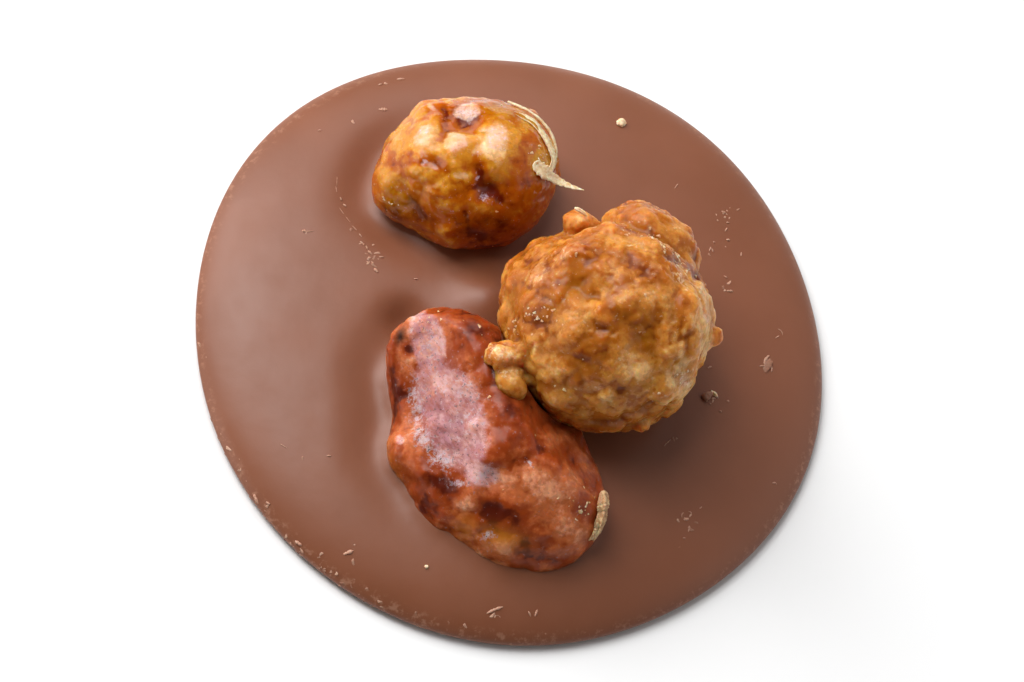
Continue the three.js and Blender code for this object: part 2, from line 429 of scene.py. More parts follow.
def crust_tree() -> ShapeTree:
    """Tree that raises a craggy sugar crust on a nut.

    Returns:
        The tree. It stores crests and hollows, about -1 to 1, as the attribute relief.
    """
    b = ShapeTree(
        "SugarCrust",
        {"Lump Size": 2.2, "Lump Height": 0.25, "Softness": 0.3, "Wave Size": 5.0, "Wave Height": 0.3,
         "Knob Size": 0.8, "Knob Height": 0.08, "Grain Size": 0.3, "Grain Height": 0.02, "Seed": 1.0},
    )
    place = b.vector("SCALE", b.node("GeometryNodeInputPosition").outputs[0], scale=1 / MM)
    apart = b.node("ShaderNodeCombineXYZ", {0: b.times(b.size("Seed"), 37.0), 1: 11.0, 2: 5.0})
    place = b.vector("ADD", place, apart.outputs[0])

    def cloud(size: Any, detail: float) -> bpy.types.Node:
        """Noise whose clouds are that size in millimetres."""
        inputs = {"Vector": place, "Scale": b.math("DIVIDE", 1.0, size), "Detail": detail, "Roughness": 0.5}
        return b.node("ShaderNodeTexNoise", inputs)

    def lumps(size: Any, warp: float, softness: Any) -> Socket:
        """Rounded lumps of that size with creases between them, about -1 to 1.

        Args:
            size: of the lumps, in millimetres.
            warp: how far they are pulled out of shape.
            softness: how round the creases are.

        Returns:
            The socket of their height.
        """
        bend = b.vector("SUBTRACT", cloud(b.times(size, 1.3), 1.0).outputs["Color"], (0.5, 0.5, 0.5))
        stretch = b.vector("SCALE", bend, scale=b.times(size, warp))
        cells = b.node(
            "ShaderNodeTexVoronoi",
            {"Vector": b.vector("ADD", place, stretch), "Scale": b.math("DIVIDE", 1.0, size),
             "Smoothness": softness},
            feature="SMOOTH_F1",
        )
        dome = b.times(b.minus(0.42, cells.outputs["Distance"]), 2.2)
        plate = b.node("ShaderNodeSeparateXYZ", {0: cells.outputs["Color"]}).outputs[0]
        return b.times_plus(b.minus(plate, 0.5), 1.1, dome)

    def strength(low: float, high: float, size: float) -> Socket:
        """Cloudy share from 0 to 1, so that a kind of relief shows in patches."""
        return b.band(cloud(size, 1.0).outputs[0], low, high)

    lump = lumps(b.size("Lump Size"), 1.6, b.size("Softness"))
    knob = b.times(lumps(b.size("Knob Size"), 1.0, 0.25), strength(0.36, 0.56, 3.7))
    wave = b.times(b.minus(cloud(b.size("Wave Size"), 2.0).outputs[0], 0.5), 4.0)
    grain = b.times(b.minus(cloud(b.size("Grain Size"), 2.0).outputs[0], 0.5), 4.0)
    grain = b.times(grain, strength(0.4, 0.62, 2.9))
    rise = b.times(lump, b.size("Lump Height"))
    rise = b.times_plus(knob, b.size("Knob Height"), rise)
    rise = b.times_plus(grain, b.size("Grain Height"), rise)
    rise = b.times(rise, b.minus(1.0, b.stored("smooth")))
    rise = b.times_plus(wave, b.size("Wave Height"), rise)
    # The finishes darken the hollows and lighten the crests by this tone, partly as painted shade.
    tone = b.times_plus(wave, 0.35, b.times(lump, 0.45))
    tone = b.times_plus(knob, 0.3, tone)
    outwards = b.vector("SCALE", b.node("GeometryNodeInputNormal").outputs[0], scale=b.times(rise, MM))
    b.close(b.keep(b.moved(b.size("Geometry"), {"Offset": outwards}), "relief", tone, "POINT"))
    return b


def scatter_tree() -> ShapeTree:
    """Tree that strews small irregular grains over a surface where its attribute litter says.

    Returns:
        The tree. It stores a random number for each grain as the attribute tone.
    """
    b = ShapeTree(
        "StrewnGrains",
        {"Grains per mm2": 1.0, "Smallest": 0.08, "Largest": 0.25, "Stretch": 1.0, "Thickness": 0.5,
         "Seed": 1},
    )
    density = b.times(b.times(b.stored("litter"), b.size("Grains per mm2")), 1 / MM**2)
    seats = b.node(
        "GeometryNodeDistributePointsOnFaces",
        {"Mesh": b.size("Geometry"), "Density": density, "Seed": b.size("Seed")},
        distribute_method="RANDOM",
    )
    grain = b.node("GeometryNodeMeshIcoSphere", {"Radius": 0.5, "Subdivisions": 2})
    rough = b.node(
        "ShaderNodeTexNoise",
        {"Vector": b.node("GeometryNodeInputPosition").outputs[0], "Scale": 1.7, "Detail": 2.0},
    )
    dent = b.vector("SUBTRACT", rough.outputs["Color"], (0.5, 0.5, 0.5))
    chipped = b.moved(grain.outputs[0], {"Offset": b.vector("SCALE", dent, scale=1.1)})
    size = b.chance(b.size("Smallest"), b.size("Largest"), b.size("Seed"))
    length = b.chance(1.0, b.size("Stretch"), 71)
    scale = b.node("ShaderNodeCombineXYZ", {0: length, 1: 1.0, 2: b.size("Thickness")}).outputs[0]
    spin = b.chance(0.0, math.tau, 37)
    upright = b.node("ShaderNodeCombineXYZ", {0: 0.0, 1: 0.0, 2: spin}).outputs[0]
    turn = b.node("FunctionNodeEulerToRotation", {0: upright}).outputs[0]
    facing = seats.outputs["Rotation"]
    spun = b.node("FunctionNodeRotateRotation", {0: facing, 1: turn}, rotation_space="LOCAL")
    strewn = b.node(
        "GeometryNodeInstanceOnPoints",
        {"Points": seats.outputs[0], "Instance": chipped, "Rotation": spun.outputs[0],
         "Scale": b.vector("SCALE", scale, scale=b.times(size, MM))},
    )
    b.close(b.keep(strewn.outputs[0], "tone", b.chance(0.0, 1.0, 5), "INSTANCE"))
    return b


# ---- Finishes -------------------------------------------------------------------------------


class FinishBench(Bench):
    """The bench of one material, with its shader and the Object coordinates in millimetres."""

    def __init__(self, name: str) -> None:
        """Open a new material of that name."""
        self.material = bpy.data.materials.new(name)
        self.material.use_nodes = True
        self.material.node_tree.nodes.clear()
        super().__init__(self.material.node_tree)
        self.shader = self.node("ShaderNodeBsdfPrincipled")
        self.node("ShaderNodeOutputMaterial", {"Surface": self.shader.outputs[0]})
        self.place = self.vector("SCALE", self.node("ShaderNodeTexCoord").outputs["Object"], scale=1 / MM)

    def stored(self, name: str) -> Socket:
        """Number stored on the mesh under that name."""
        return self.node("ShaderNodeAttribute", attribute_name=name).outputs["Fac"]

    def noise(self, size: float, detail: float = 3.0, roughness: float = 0.5, place: Any = None) -> Socket:
        """Cloudy noise from 0 to 1 whose clouds are that size in millimetres.

        Args:
            size: of the clouds.
            detail: how many finer layers it has.
            roughness: how strong those are.
            place: where it is read, if not at the place on the piece.

        Returns:
            The socket of the noise.
        """
        spot = self.place if place is None else place
        inputs = {"Vector": spot, "Scale": 1 / size, "Detail": detail, "Roughness": roughness}
        return self.node("ShaderNodeTexNoise", inputs).outputs[0]

    def blend(self, share: Any, first: Any, second: Any) -> Socket:
        """Mix two colours, given as sockets or codes, by a share from 0 to 1."""
        first, second = (colour(shade) if isinstance(shade, str) else shade for shade in (first, second))
        return self.node("ShaderNodeMix", {0: share, 6: first, 7: second}, data_type="RGBA").outputs[2]

    def ramp(self, value: Any, stops: list[tuple[float, str]]) -> Socket:
        """Colour that a value picks from a row of stops.

        Args:
            value: from 0 to 1.
            stops: where each colour stands, and its code.

        Returns:
            The socket of the colour.
        """
        node = self.node("ShaderNodeValToRGB", {0: value})
        node.color_ramp.interpolation = "EASE"
        points = node.color_ramp.elements
        while len(points) < len(stops):
            points.new(1.0)
        for point, (at, code) in zip(points, stops):
            point.position = at
            point.color = colour(code)
        return node.outputs[0]

    def bump(self, strength: Any, distance: float, height: Socket, under: Socket | None = None) -> Socket:
        """Normals that follow a height, on top of the normals under it."""
        inputs = {"Strength": strength, "Distance": distance * MM, "Height": height}
        return self.node("ShaderNodeBump", inputs | ({"Normal": under} if under else {})).outputs[0]

    def done(self, inputs: Inputs) -> Material:
        """Feed the shader and hand over the material."""
        self.fill(self.shader, inputs)
        return self.material


@dataclass(frozen=True)
class ChocolateFinish:
    """Satin milk chocolate: smooth, a little cloudy, with pale scuffs and a dusty edge."""

    name: str = "milk_chocolate"
    body: str = "7e4b33"
    warm: str = "79472f"
    dusty: str = "a5785f"
    roughness: float = 0.4

    def material(self) -> Material:
        """Build the finish.

        Returns:
            The material.
        """
        b = FinishBench(self.name)
        shade = b.blend(b.band(b.noise(9.0, 4.0), 0.35, 0.65), self.body, self.warm)
        edge = b.times(b.stored("edge"), b.band(b.noise(0.55, 4.0, 0.7), 0.5, 0.66))
        grit = b.band(b.noise(0.3, 3.0, 0.7), 0.66, 0.74)
        worn = b.times(b.stored("litter"), b.times(grit, 0.8), clamp=True)
        dust = b.math("MAXIMUM", b.times(edge, 0.55), worn)
        smear = b.band(b.noise(3.5, 4.0, 0.6), 0.3, 0.7, self.roughness - 0.03, self.roughness + 0.05)
        swell = b.bump(0.35, 0.05, b.noise(1.3, 3.0))
        return b.done({
            "Base Color": b.blend(dust, shade, self.dusty),
            "Roughness": b.math("ADD", smear, b.times(dust, 0.3)),
            "Normal": b.bump(0.25, 0.012, b.noise(0.16, 2.0), swell),
            "Subsurface Weight": 0.12,
            "Subsurface Radius": (1.0, 0.45, 0.25),
            "Subsurface Scale": 0.6 * MM,
            "Specular IOR Level": 0.36,
        })


@dataclass(frozen=True)
class CaramelFinish:
    """Boiled sugar over a nut: dark and clear in the hollows, where shade is also painted in, pale and
    grainy on the crags.
    """

    name: str
    deep: str
    body: str
    light: str
    pale: str
    milky: str
    dusk: str
    # Greyish colour of the frosted bloom, and of the painted glints of the light.
    grey: str
    amber: str
    patch: float
    contrast: float
    clear_gloss: float
    grainy_gloss: float
    coat: float
    grain: float
    glow: float
    reach: float
    specular: float
    lay: float = 0.0
    combing: float = 0.0
    specks: float = 0.2
    speck: str = "3a2a30"
    scorched: str = "1c1612"
    crystal: float = 0.26

    def material(self) -> Material:
        """Build the finish.

        Returns:
            The material.
        """
        b = FinishBench(self.name)
        cloud = b.minus(b.noise(self.patch, 4.0, 0.55), 0.5)
        fine = b.minus(b.noise(0.55, 4.0, 0.6), 0.5)
        cells = {"Vector": b.place, "Scale": 1 / self.crystal}
        crystals = b.node("ShaderNodeTexVoronoi", cells, feature="F1")
        tone = self.tone(b, cloud, fine)
        grainy = b.band(b.times_plus(cloud, 0.8, tone), 0.42, 0.8)
        glint = b.node("ShaderNodeSeparateColor", {0: crystals.outputs["Color"]}).outputs[0]
        frost = b.band(b.times_plus(cloud, 0.7, b.times_plus(fine, 0.35, b.stored("bloom"))), 0.34, 0.58)
        stops = [(0.04, self.deep), (0.4, self.body), (0.66, self.light), (0.95, self.pale)]
        lift = b.times_plus(b.times(b.minus(glint, 0.5), grainy), 0.3, 1.0)
        shade = b.vector("SCALE", b.ramp(tone, stops), scale=lift)
        golden = b.times(b.stored("amber"), b.band(cloud, -0.15, 0.1, 0.6, 1.0), clamp=True)
        shade = self.bloomed(b, b.blend(golden, shade, self.amber), cloud, fine, frost)
        dull = b.math("MAXIMUM", grainy, b.times(frost, 0.55))
        gloss = b.node("ShaderNodeMapRange", {"Value": dull, 3: self.clear_gloss, 4: self.grainy_gloss})
        soft = b.bump(0.5 * self.grain, 0.05, b.noise(0.9, 2.0, 0.5))
        raised = b.minus(1.0, crystals.outputs["Distance"])
        return b.done({
            "Base Color": shade,
            "Roughness": gloss.outputs[0],
            "Normal": b.bump(b.times(dull, self.grain), 0.09, raised, soft),
            "Subsurface Weight": self.glow,
            "Subsurface Radius": (1.0, 0.4, 0.12),
            "Subsurface Scale": self.reach * MM,
            "Coat Weight": self.coat,
            "Coat Roughness": 0.15,
            "Specular IOR Level": self.specular,
        })

    def tone(self, b: FinishBench, cloud: Socket, fine: Socket) -> Socket:
        """How light the bare sugar is, from 0 to 1.

        Args:
            b: the finish's bench.
            cloud: broad clouds about 0.
            fine: fine clouds about 0.

        Returns:
            The socket of the tone.
        """
        relief = b.stored("relief")
        # Pale marks lighten the tone, partly as painted light on shaded sides; pool marks darken it.
        parts = (
            (relief, 0.22 * self.contrast), (cloud, 1.5 * self.contrast), (fine, 0.55 * self.contrast),
            (b.stored("pale"), 0.45), (b.stored("pool"), -0.6),
        )
        tone: Any = 0.5
        for part, share in parts:
            tone = b.times_plus(part, share, tone)
        # The relief above and the crease term here darken the hollows and lighten the crests: thicker
        # caramel in the hollows, and painted shade and light.
        crease_shade_mask = b.band(b.times_plus(fine, 0.5, relief), -0.75, -0.35)
        darker = b.times(b.minus(crease_shade_mask, 1.0), 0.25 * self.contrast)
        return b.math("ADD", darker, tone, clamp=True)

    def bloomed(self, b: FinishBench, shade: Socket, cloud: Socket, fine: Socket, frost: Socket) -> Socket:
        """Lay the milky bloom, the silvery streaks with the painted glints of the light, the specks and the
        scorch over a colour.

        Args:
            b: the finish's bench.
            shade: the colour of the bare sugar.
            cloud: broad clouds about 0.
            fine: fine clouds about 0.
            frost: how strong the bloom is.

        Returns:
            The socket of the colour.
        """
        ahead = tuple(heading(self.lay, 0))
        along = b.times(b.vector("DOT_PRODUCT", b.place, ahead), self.combing)
        combed = b.vector("SUBTRACT", b.place, b.vector("SCALE", ahead, scale=along))
        streak = b.band(b.noise(0.42, 4.0, 0.7, combed), 0.38, 0.6)
        film = b.times(frost, b.times_plus(streak, 0.42, 0.48))
        haze = b.blend(b.band(b.noise(2.6, 3.0, 0.6), 0.42, 0.58), self.dusk, self.milky)
        shade = b.blend(film, shade, haze)
        white = b.band(b.times_plus(cloud, 0.5, b.noise(0.32, 3.0, 0.65)), 0.58, 0.72)
        shade = b.blend(b.times(b.times(frost, white), 0.55), shade, self.grey)
        # Silvery streaks and painted highlights: glints and reflections of the light painted where the
        # marks say.
        grit = b.minus(b.noise(0.24, 2.0, 0.6), 0.5)
        silver_and_glint = b.times_plus(grit, 2.2, b.times_plus(fine, 1.5, b.stored("silver_and_glint")))
        silver_and_glint = b.band(silver_and_glint, 0.3, 1.15)
        shade = b.blend(b.times(silver_and_glint, 0.72), shade, self.grey)
        speck = b.band(b.noise(0.24, 1.0, 0.5), 0.62, 0.7)
        misty = b.math("MAXIMUM", b.times(frost, 0.7), silver_and_glint)
        shade = b.blend(b.times(b.times(speck, misty), self.specks), shade, self.speck)
        return b.blend(b.times(b.stored("scorch"), 0.9, clamp=True), shade, self.scorched)


@dataclass(frozen=True)
class FlakeFinish:
    """Dry cream skin or bare wood, streaked along its grain."""

    name: str
    light: str
    dark: str

    def material(self) -> Material:
        """Build the finish.

        Returns:
            The material.
        """
        b = FinishBench(self.name)
        streak = b.band(b.noise(0.35, 4.0, 0.65), 0.35, 0.65)
        return b.done({
            "Base Color": b.blend(streak, self.dark, self.light),
            "Roughness": b.band(streak, 0.0, 1.0, 0.45, 0.65),
            "Normal": b.bump(0.5, 0.05, streak),
            "Subsurface Weight": 0.3,
            "Subsurface Scale": 0.5 * MM,
        })


@dataclass(frozen=True)
class GrainFinish:
    """Crumbs or sugar grains, each a little darker or lighter than the next."""

    name: str
    dark: str
    light: str
    roughness: float
    clear: float

    def material(self) -> Material:
        """Build the finish.

        Returns:
            The material.
        """
        b = FinishBench(self.name)
        tone = b.math("ADD", b.stored("tone"), b.minus(b.noise(0.2), 0.5), clamp=True)
        return b.done({
            "Base Color": b.blend(tone, self.dark, self.light),
            "Roughness": self.roughness,
            "Normal": b.bump(0.3, 0.02, b.noise(0.07)),
            "Subsurface Weight": self.clear,
            "Subsurface Scale": 0.4 * MM,
        })


# ---- Nuts -----------------------------------------------------------------------------------


class MarkKind(Enum):
    """What a mark on a nut's coat does; the value is the name it is stored under."""

    POOL = "pool"
    # Pale sugar, and on shaded sides a paler colour that paints in light the lamps don't give.
    PALE = "pale"
    BLOOM = "bloom"
    # Silvery streaks in the bloom, and painted glints and reflections of the light.
    SILVER = "silver_and_glint"
    SCORCH = "scorch"
    SMOOTH = "smooth"
    SUGAR = "sugar"
    AMBER = "amber"


@dataclass(frozen=True)
class Mark:
    """A patch of the coat, placed across the nut's best side.

    Attributes:
        kind: what the patch is.
        at: its middle, right and up from the nut's centre.
        size: its half length and half width.
        turn: how far its length is turned anticlockwise, in degrees.
        strength: how strong it is in its middle.
        depth: how far the skin sinks in its middle.
    """

    kind: MarkKind
    at: Pair
    size: Pair
    turn: float
    strength: float
    depth: float = 0.0

    def weight(self, points: Array) -> Array:
        """Strength of the patch at points of the nut, 0 on its underside.

        Args:
            points: rows of places in the nut's own frame.

        Returns:
            One number from 0 to 1 for each.
        """
        turn = math.radians(self.turn)
        right, up = points[:, 0] - self.at[0], points[:, 1] - self.at[1]
        along = (right * math.cos(turn) + up * math.sin(turn)) / self.size[0]
        aside = (up * math.cos(turn) - right * math.sin(turn)) / self.size[1]
        upper = np.clip((points[:, 2] + 1.5) / 2, 0, 1)
        return bell(np.hypot(along, aside), 1.0) * upper


def marks(kind: MarkKind, *rows: tuple[float, ...]) -> tuple[Mark, ...]:
    """Patches of one kind from rows of right, up, half length, half width, turn, strength and depth."""
    return tuple(Mark(kind, row[:2], row[2:4], *row[4:]) for row in rows)


def raised(towards: Array, reach: Array, bumps: Any) -> Array:
    """Raise or sink a rounded shape by its bumps.

    Args:
        towards: rows of unit directions.
        reach: how far the shape reaches in each.
        bumps: rows of longitude, latitude, height and spread in degrees.

    Returns:
        The new reach.
    """
    for longitude, latitude, rise, spread in bumps:
        tightness = 1 / (1 - math.cos(math.radians(spread)))
        reach = reach + rise * np.exp((towards @ heading(longitude, latitude) - 1) * tightness)
    return reach


@dataclass(frozen=True)
class Crags:
    """The crags of a coat: how many, how high, how wide in degrees, and the seed of their shuffle."""

    count: int
    height: float
    spread: float
    seed: int

    def bumps(self) -> list[tuple[float, float, float, float]]:
        """Small bumps spread evenly over the nut and then shuffled a little.

        Returns:
            Rows of longitude, latitude, height and spread.
        """
        golden_angle = 180 * (3 - math.sqrt(5))
        spacing = 360 / math.sqrt(math.pi * self.count)
        numbers = seeded_numbers(self.seed, 4 * self.count)
        rows = []
        for i in range(self.count):
            sideways, rise, upwards, width = numbers[4 * i : 4 * i + 4]
            latitude = math.degrees(math.asin(1 - 2 * (i + 0.5) / self.count))
            rows.append((
                i * golden_angle + (sideways - 0.5) * spacing,
                latitude + (upwards - 0.5) * spacing,
                self.height * (2 * rise - 0.8),
                self.spread * (0.6 + 0.8 * width),
            ))
        return rows


@dataclass(frozen=True)
class Crust:
    """The fine relief of a coat: sizes and heights of its lumps, waves, knobs and grains, and its seed."""

    lump_size: float
    lump_height: float
    softness: float
    wave_size: float
    wave_height: float
    knob_size: float
    knob_height: float
    grain_size: float
    grain_height: float
    seed: float


@dataclass(frozen=True)
class Lobe:
    """A lump fused to a coat: its middle and half sizes in the nut's own frame, and its turn in degrees."""

    centre: Triple
    half_sizes: Triple
    turn: float = 0.0
    roughness: float = 0.09

    def shell(self, steps: int, seed: int) -> tuple[Array, Array]:
        """Points and faces of the lump.

        Args:
            steps: quads along an edge of the cube that it is blown up from.
            seed: of its own small crags.

        Returns:
            The points in the nut's own frame, and the faces.
        """
        towards, quads = cube_sphere(steps)
        swell = raised(towards, np.ones(len(towards)), Crags(22, self.roughness, 16, seed).bumps())
        points = towards * swell[:, None] * np.array(self.half_sizes)
        return points @ upright_turn(self.turn).T + np.array(self.centre), quads


@dataclass(frozen=True)
class CoatedNut:
    """A nut in its caramel coat, shaped round its centre and tipped into the disc.

    Attributes:
        node: the node it stands for.
        slot: the material slot of its finish.
        centre: where its middle lies in the disc's frame.
        half_sizes: along its length, its width and its height.
        turn: of its length, in degrees.
        softness: how far facets are rounded over.
        facets: rows of longitude, latitude and distance from the centre.
        bumps: rows of longitude, latitude, height and spread in degrees.
        crags: its middle-sized lumps.
        crust: its fine relief.
        lobes: lumps fused to the coat.
        marks: patches of its coat.
        finish: the look of its coat.
        voxel: how fine its mesh is.
    """

    node: str
    slot: str
    centre: Triple
    half_sizes: Triple
    turn: float
    facets: tuple[Triple, ...]
    bumps: tuple[tuple[float, float, float, float], ...]
    crags: Crags
    crust: Crust
    marks: tuple[Mark, ...]
    finish: CaramelFinish
    lobes: tuple[Lobe, ...] = ()
    softness: float = 0.6
    voxel: float = 0.12

    def body_reach(self, towards: Array) -> Array:
        """How far the skin lies from the centre, lobes and marks left aside.

        Args:
            towards: rows of unit directions in the nut's own frame.

        Returns:
            One distance for each direction.
        """
        length, width, height = self.half_sizes
        turn = math.radians(self.turn)
        along = towards[:, 0] * math.cos(turn) + towards[:, 1] * math.sin(turn)
        aside = towards[:, 1] * math.cos(turn) - towards[:, 0] * math.sin(turn)
        reach = 1 / np.sqrt((along / length) ** 2 + (aside / width) ** 2 + (towards[:, 2] / height) ** 2)
        for longitude, latitude, distance in self.facets:
            facing = towards @ heading(longitude, latitude)
            cut = soft_min(reach, distance / np.maximum(facing, 0.2), self.softness)
            reach = np.where(facing > 0.2, cut, reach)
        return raised(towards, reach, (*self.bumps, *self.crags.bumps()))

    def reach(self, towards: Array) -> Array:
        """How far the skin lies from the centre with its marks sunk into it.

        Args:
            towards: rows of unit directions in the nut's own frame.

        Returns:
            One distance for each direction.
        """
        reach = self.body_reach(towards)
        points = towards * reach[:, None]
        for mark in self.marks:
            reach = reach - mark.depth * mark.weight(points)
        return reach

    def on_skin(self, right: float, up: float) -> Array:
        """Place on the upper skin that the nut's best side shows there.

        Args:
            right: from the nut's centre.
            up: from the nut's centre.

        Returns:
            The place in the nut's own frame, level with the centre where the nut doesn't reach so far.
        """
        rise = 0.7 * self.half_sizes[2]
        for _ in range(30):
            spot = np.array([[right, up, rise]])
            reach = self.reach(spot / np.linalg.norm(spot))[0]
            rise = 0.5 * rise + 0.5 * math.sqrt(max(reach**2 - right**2 - up**2, 0.01))
        return np.array([right, up, rise])

    def build(self, tree: ShapeTree, name: str, material: Material | None = None,
              avoid: "CoatedNut | None" = None, coarser: float = 1.0) -> Object:
        """Make the nut's mesh with its lobes and its crust.

        Args:
            tree: the tree that raises the crust.
            name: the object's name.
            material: the finish.
            avoid: another nut that this one is pressed against and gives way to.
            coarser: how many times coarser than usual the mesh is.

        Returns:
            The nut in place in the disc.
        """
        towards, quads = cube_sphere(70)
        shells = [(towards * self.reach(towards)[:, None], quads)]
        shells += [lobe.shell(24, seed) for seed, lobe in enumerate(self.lobes)]
        obj = fuse(name, shells, self.voxel * coarser)
        local = points_of(obj)
        for kind in MarkKind:
            weights = np.zeros(len(local))
            for mark in self.marks:
                if mark.kind is kind:
                    weights = np.maximum(weights, mark.strength * mark.weight(local))
            paint(obj, kind.value, weights)
        sizes = {label.title(): value for label, value in vars(self.crust).items()}
        tree.shape(obj, material, **sizes)
        places = self.in_disc(points_of(obj))
        if avoid:
            places = avoid.push_out(places, np.array(self.centre))
        move_points(obj, places)
        return obj

    def in_disc(self, points: Array) -> Array:
        """Carry points from the nut's own frame to the disc's."""
        return points @ tip_matrix().T + np.array(self.centre)

    def push_out(self, points: Array, centre: Array) -> Array:
        """Draw points that lie inside this nut back towards another nut's centre until they are outside.

        Args:
            points: rows of places in the disc's frame.
            centre: the other nut's centre.

        Returns:
            The points, moved where they had to be.
        """
        tip = tip_matrix()

        def is_inside(places: Array) -> Array:
            """Whether each place is inside this nut, with a little to spare.

            Args:
                places: rows in the disc's frame.

            Returns:
                True or false for each.
            """
            local = (places - np.array(self.centre)) @ tip
            far = np.linalg.norm(local, axis=1)
            return far < self.body_reach(local / far[:, None]) + 0.1

        caught = np.flatnonzero(is_inside(points))
        low, high = np.zeros(len(caught)), np.ones(len(caught))
        for _ in range(12):
            middle = (low + high) / 2
            hit = is_inside(centre + (points[caught] - centre) * middle[:, None])
            high = np.where(hit, middle, high)
            low = np.where(hit, low, middle)
        moved = points.copy()
        moved[caught] = centre + (points[caught] - centre) * low[:, None]
        return moved


def fuse(name: str, shells: list[tuple[Array, Array]], voxel: float) -> Object:
    """Melt overlapping closed shells into one even mesh.

    Args:
        name: the object's name.
        shells: points and faces of each shell.
        voxel: how fine the mesh is.

    Returns:
        One object with a single skin.
    """
    first, rows = 0, []
    for points, faces in shells:
        rows.append(faces + first)
        first += len(points)
    obj = mesh_object(name, np.concatenate([points for points, _ in shells]) / MM, np.concatenate(rows))
    melt = obj.modifiers.new("melt", "REMESH")
    melt.mode = "VOXEL"
    melt.voxel_size = voxel
    melt.use_smooth_shade = True
    calm = obj.modifiers.new("calm", "SMOOTH")
    calm.factor = 0.5
    calm.iterations = 3
    settle(obj)
    move_points(obj, points_of(obj) * MM)
    return obj


POOL, PALE, BLOOM, SILVER, SCORCH, SMOOTH, SUGAR, AMBER = MarkKind

ALMOND = CoatedNut(
    node="almond",
    slot="red_caramel",
    centre=(-3.41, -11.01, 5.6),
    half_sizes=(12.5, 7.6, 5.4),
    turn=-53.4,
    softness=0.5,
    facets=((160, 68, 4.5), (30, 32, 5.6), (205, 30, 6.6), (-117, -63, 4.7)),
    bumps=(
        (98, 2, 0.7, 18), (162, 4, -2.1, 17), (145, 6, -1.4, 14), (178, 4, 0.5, 10), (-168, 12, 1.1, 13),
        (-134, 6, 1.3, 20), (-75, 20, 0.4, 22), (-78, 58, -0.8, 9), (150, 30, -0.4, 8),
    ),
    crags=Crags(count=52, height=0.32, spread=11, seed=7),
    crust=Crust(lump_size=2.2, lump_height=0.15, softness=0.5, wave_size=4.0, wave_height=0.12,
                knob_size=0.8, knob_height=0.035, grain_size=0.3, grain_height=0.015, seed=3.0),
    marks=(
        # The first two bloom marks lay a milky bloom over the flat facet; its pale pink there also paints
        # in the sheen of the light on that facet.
        *marks(BLOOM, (-2.9, 2.5, 5.4, 2.7, -68, 1.1), (-4.8, 8.1, 2.9, 1.3, -78, 1.35),
            (-0.5, -2.5, 1.7, 1.2, 0, 0.9), (6.4, -7.9, 1.4, 1.1, 0, 0.3), (-7.2, 0.2, 0.6, 0.8, 0, 0.5),
            (3.8, -9.4, 1.4, 0.6, 0, 0.3)),
        # The pale mark at (5.2, -4.1) also paints light onto the almond's shaded lower right.
        *marks(PALE, (-4.8, 8.1, 2.8, 1.3, -78, 1.1), (-4.2, 5.2, 1.6, 1.4, 0, 0.6),
            (5.2, -4.1, 1.8, 1.3, 0, 1.1), (1.3, -2.9, 1.4, 0.9, -20, 0.6),
            (-7.1, -0.2, 1, 1.2, 0, 0.6, -0.25), (-6.4, 7, 0.9, 0.7, 0, 0.8, -0.15),
            (-1.7, -5, 1.1, 0.7, 0, 0.7, -0.2), (-0.9, -7.5, 0.6, 0.5, 0, 0.7),
            (3.7, -3.8, 3, 1.5, -15, 0.8, -0.15), (6.2, -7.3, 2, 1.8, 0, 0.6),
            (1.6, -8.5, 1.3, 0.8, -20, 0.7, -0.2), (-7.8, -2.2, 0.8, 1.4, 15, 0.5)),
        # The pool at (1.9, 3.2) paints shade on the almond in the gap beside the craggy hazelnut.
        *marks(POOL, (-7.9, 5.2, 0.8, 3.2, 0, 0.6), (1.9, 3.2, 2.6, 1, -48, 0.5),
            (-0.7, 9, 2.6, 1.6, -25, 0.25), (-3.2, 0.6, 1, 2.4, 20, 0.4), (0.6, 6.6, 0.9, 2, 20, 0.4),
            (0.6, -5.8, 1.1, 1, 0, 1.1, 0.5), (2.6, -6.4, 1.4, 1.2, 0, 0.5),
            (-4, -3.3, 1.7, 0.8, -30, 0.8, 0.2), (-4.6, -5.6, 2.2, 1, -45, 0.45),
            (-6.5, 7.8, 0.5, 0.5, 0, 1.1, 0.35)),
        *marks(AMBER, (1.2, -7.9, 2.2, 0.9, -15, 0.8), (-1.6, -7, 0.9, 1, 0, 0.7),
            (-8, -1.8, 0.8, 1.8, 15, 0.5)),
        # Silvery marks: streaks in the bloom, and painted glints of the light, as at (-0.3, -2.6), (0.2,
        # -7.6) and (3.7, -1.7).
        *marks(SILVER, (0.2, -7.6, 0.7, 0.5, 30, 0.8), (3.7, -1.7, 0.5, 0.12, -60, 1),
            (-5.8, 3.2, 2.6, 0.9, -85, 0.8), (-5.1, 0.3, 2, 0.9, -60, 0.85),
            (-3.8, -1.3, 1.3, 0.9, -40, 0.9), (-2, 4.6, 2, 1.2, -60, 0.55),
            (-4.6, 7.8, 2.2, 0.8, -78, 0.5), (-0.3, -2.6, 1.1, 0.6, 50, 0.7),
            (-2.2, -3.3, 1, 0.35, -10, 0.8)),
        *marks(SMOOTH, (-2.6, 2.9, 5, 2.4, -68, 0.6)),
        *marks(SCORCH, (-7.2, 8.9, 0.4, 0.8, -20, 1)),
        *marks(SUGAR, (6.8, -4.4, 0.8, 0.6, 0, 1), (8, -5.3, 0.8, 1, 0, 0.8),
            (-3.2, 10.2, 1.5, 0.5, 0, 0.4)),
    ),
    finish=CaramelFinish(
        name="red_caramel", deep="54190a", body="8f3b14", light="b25e32", pale="d6946e", milky="cfa3a0",
        dusk="ac787c", grey="c0b4ba", patch=2.4, contrast=0.75, clear_gloss=0.28, grainy_gloss=0.48,
        coat=0.05, grain=0.35, glow=0.6, reach=2.2, specular=0.16, amber="b06c20", lay=-53.4, combing=0.6,
        specks=0.75,
    ),
)

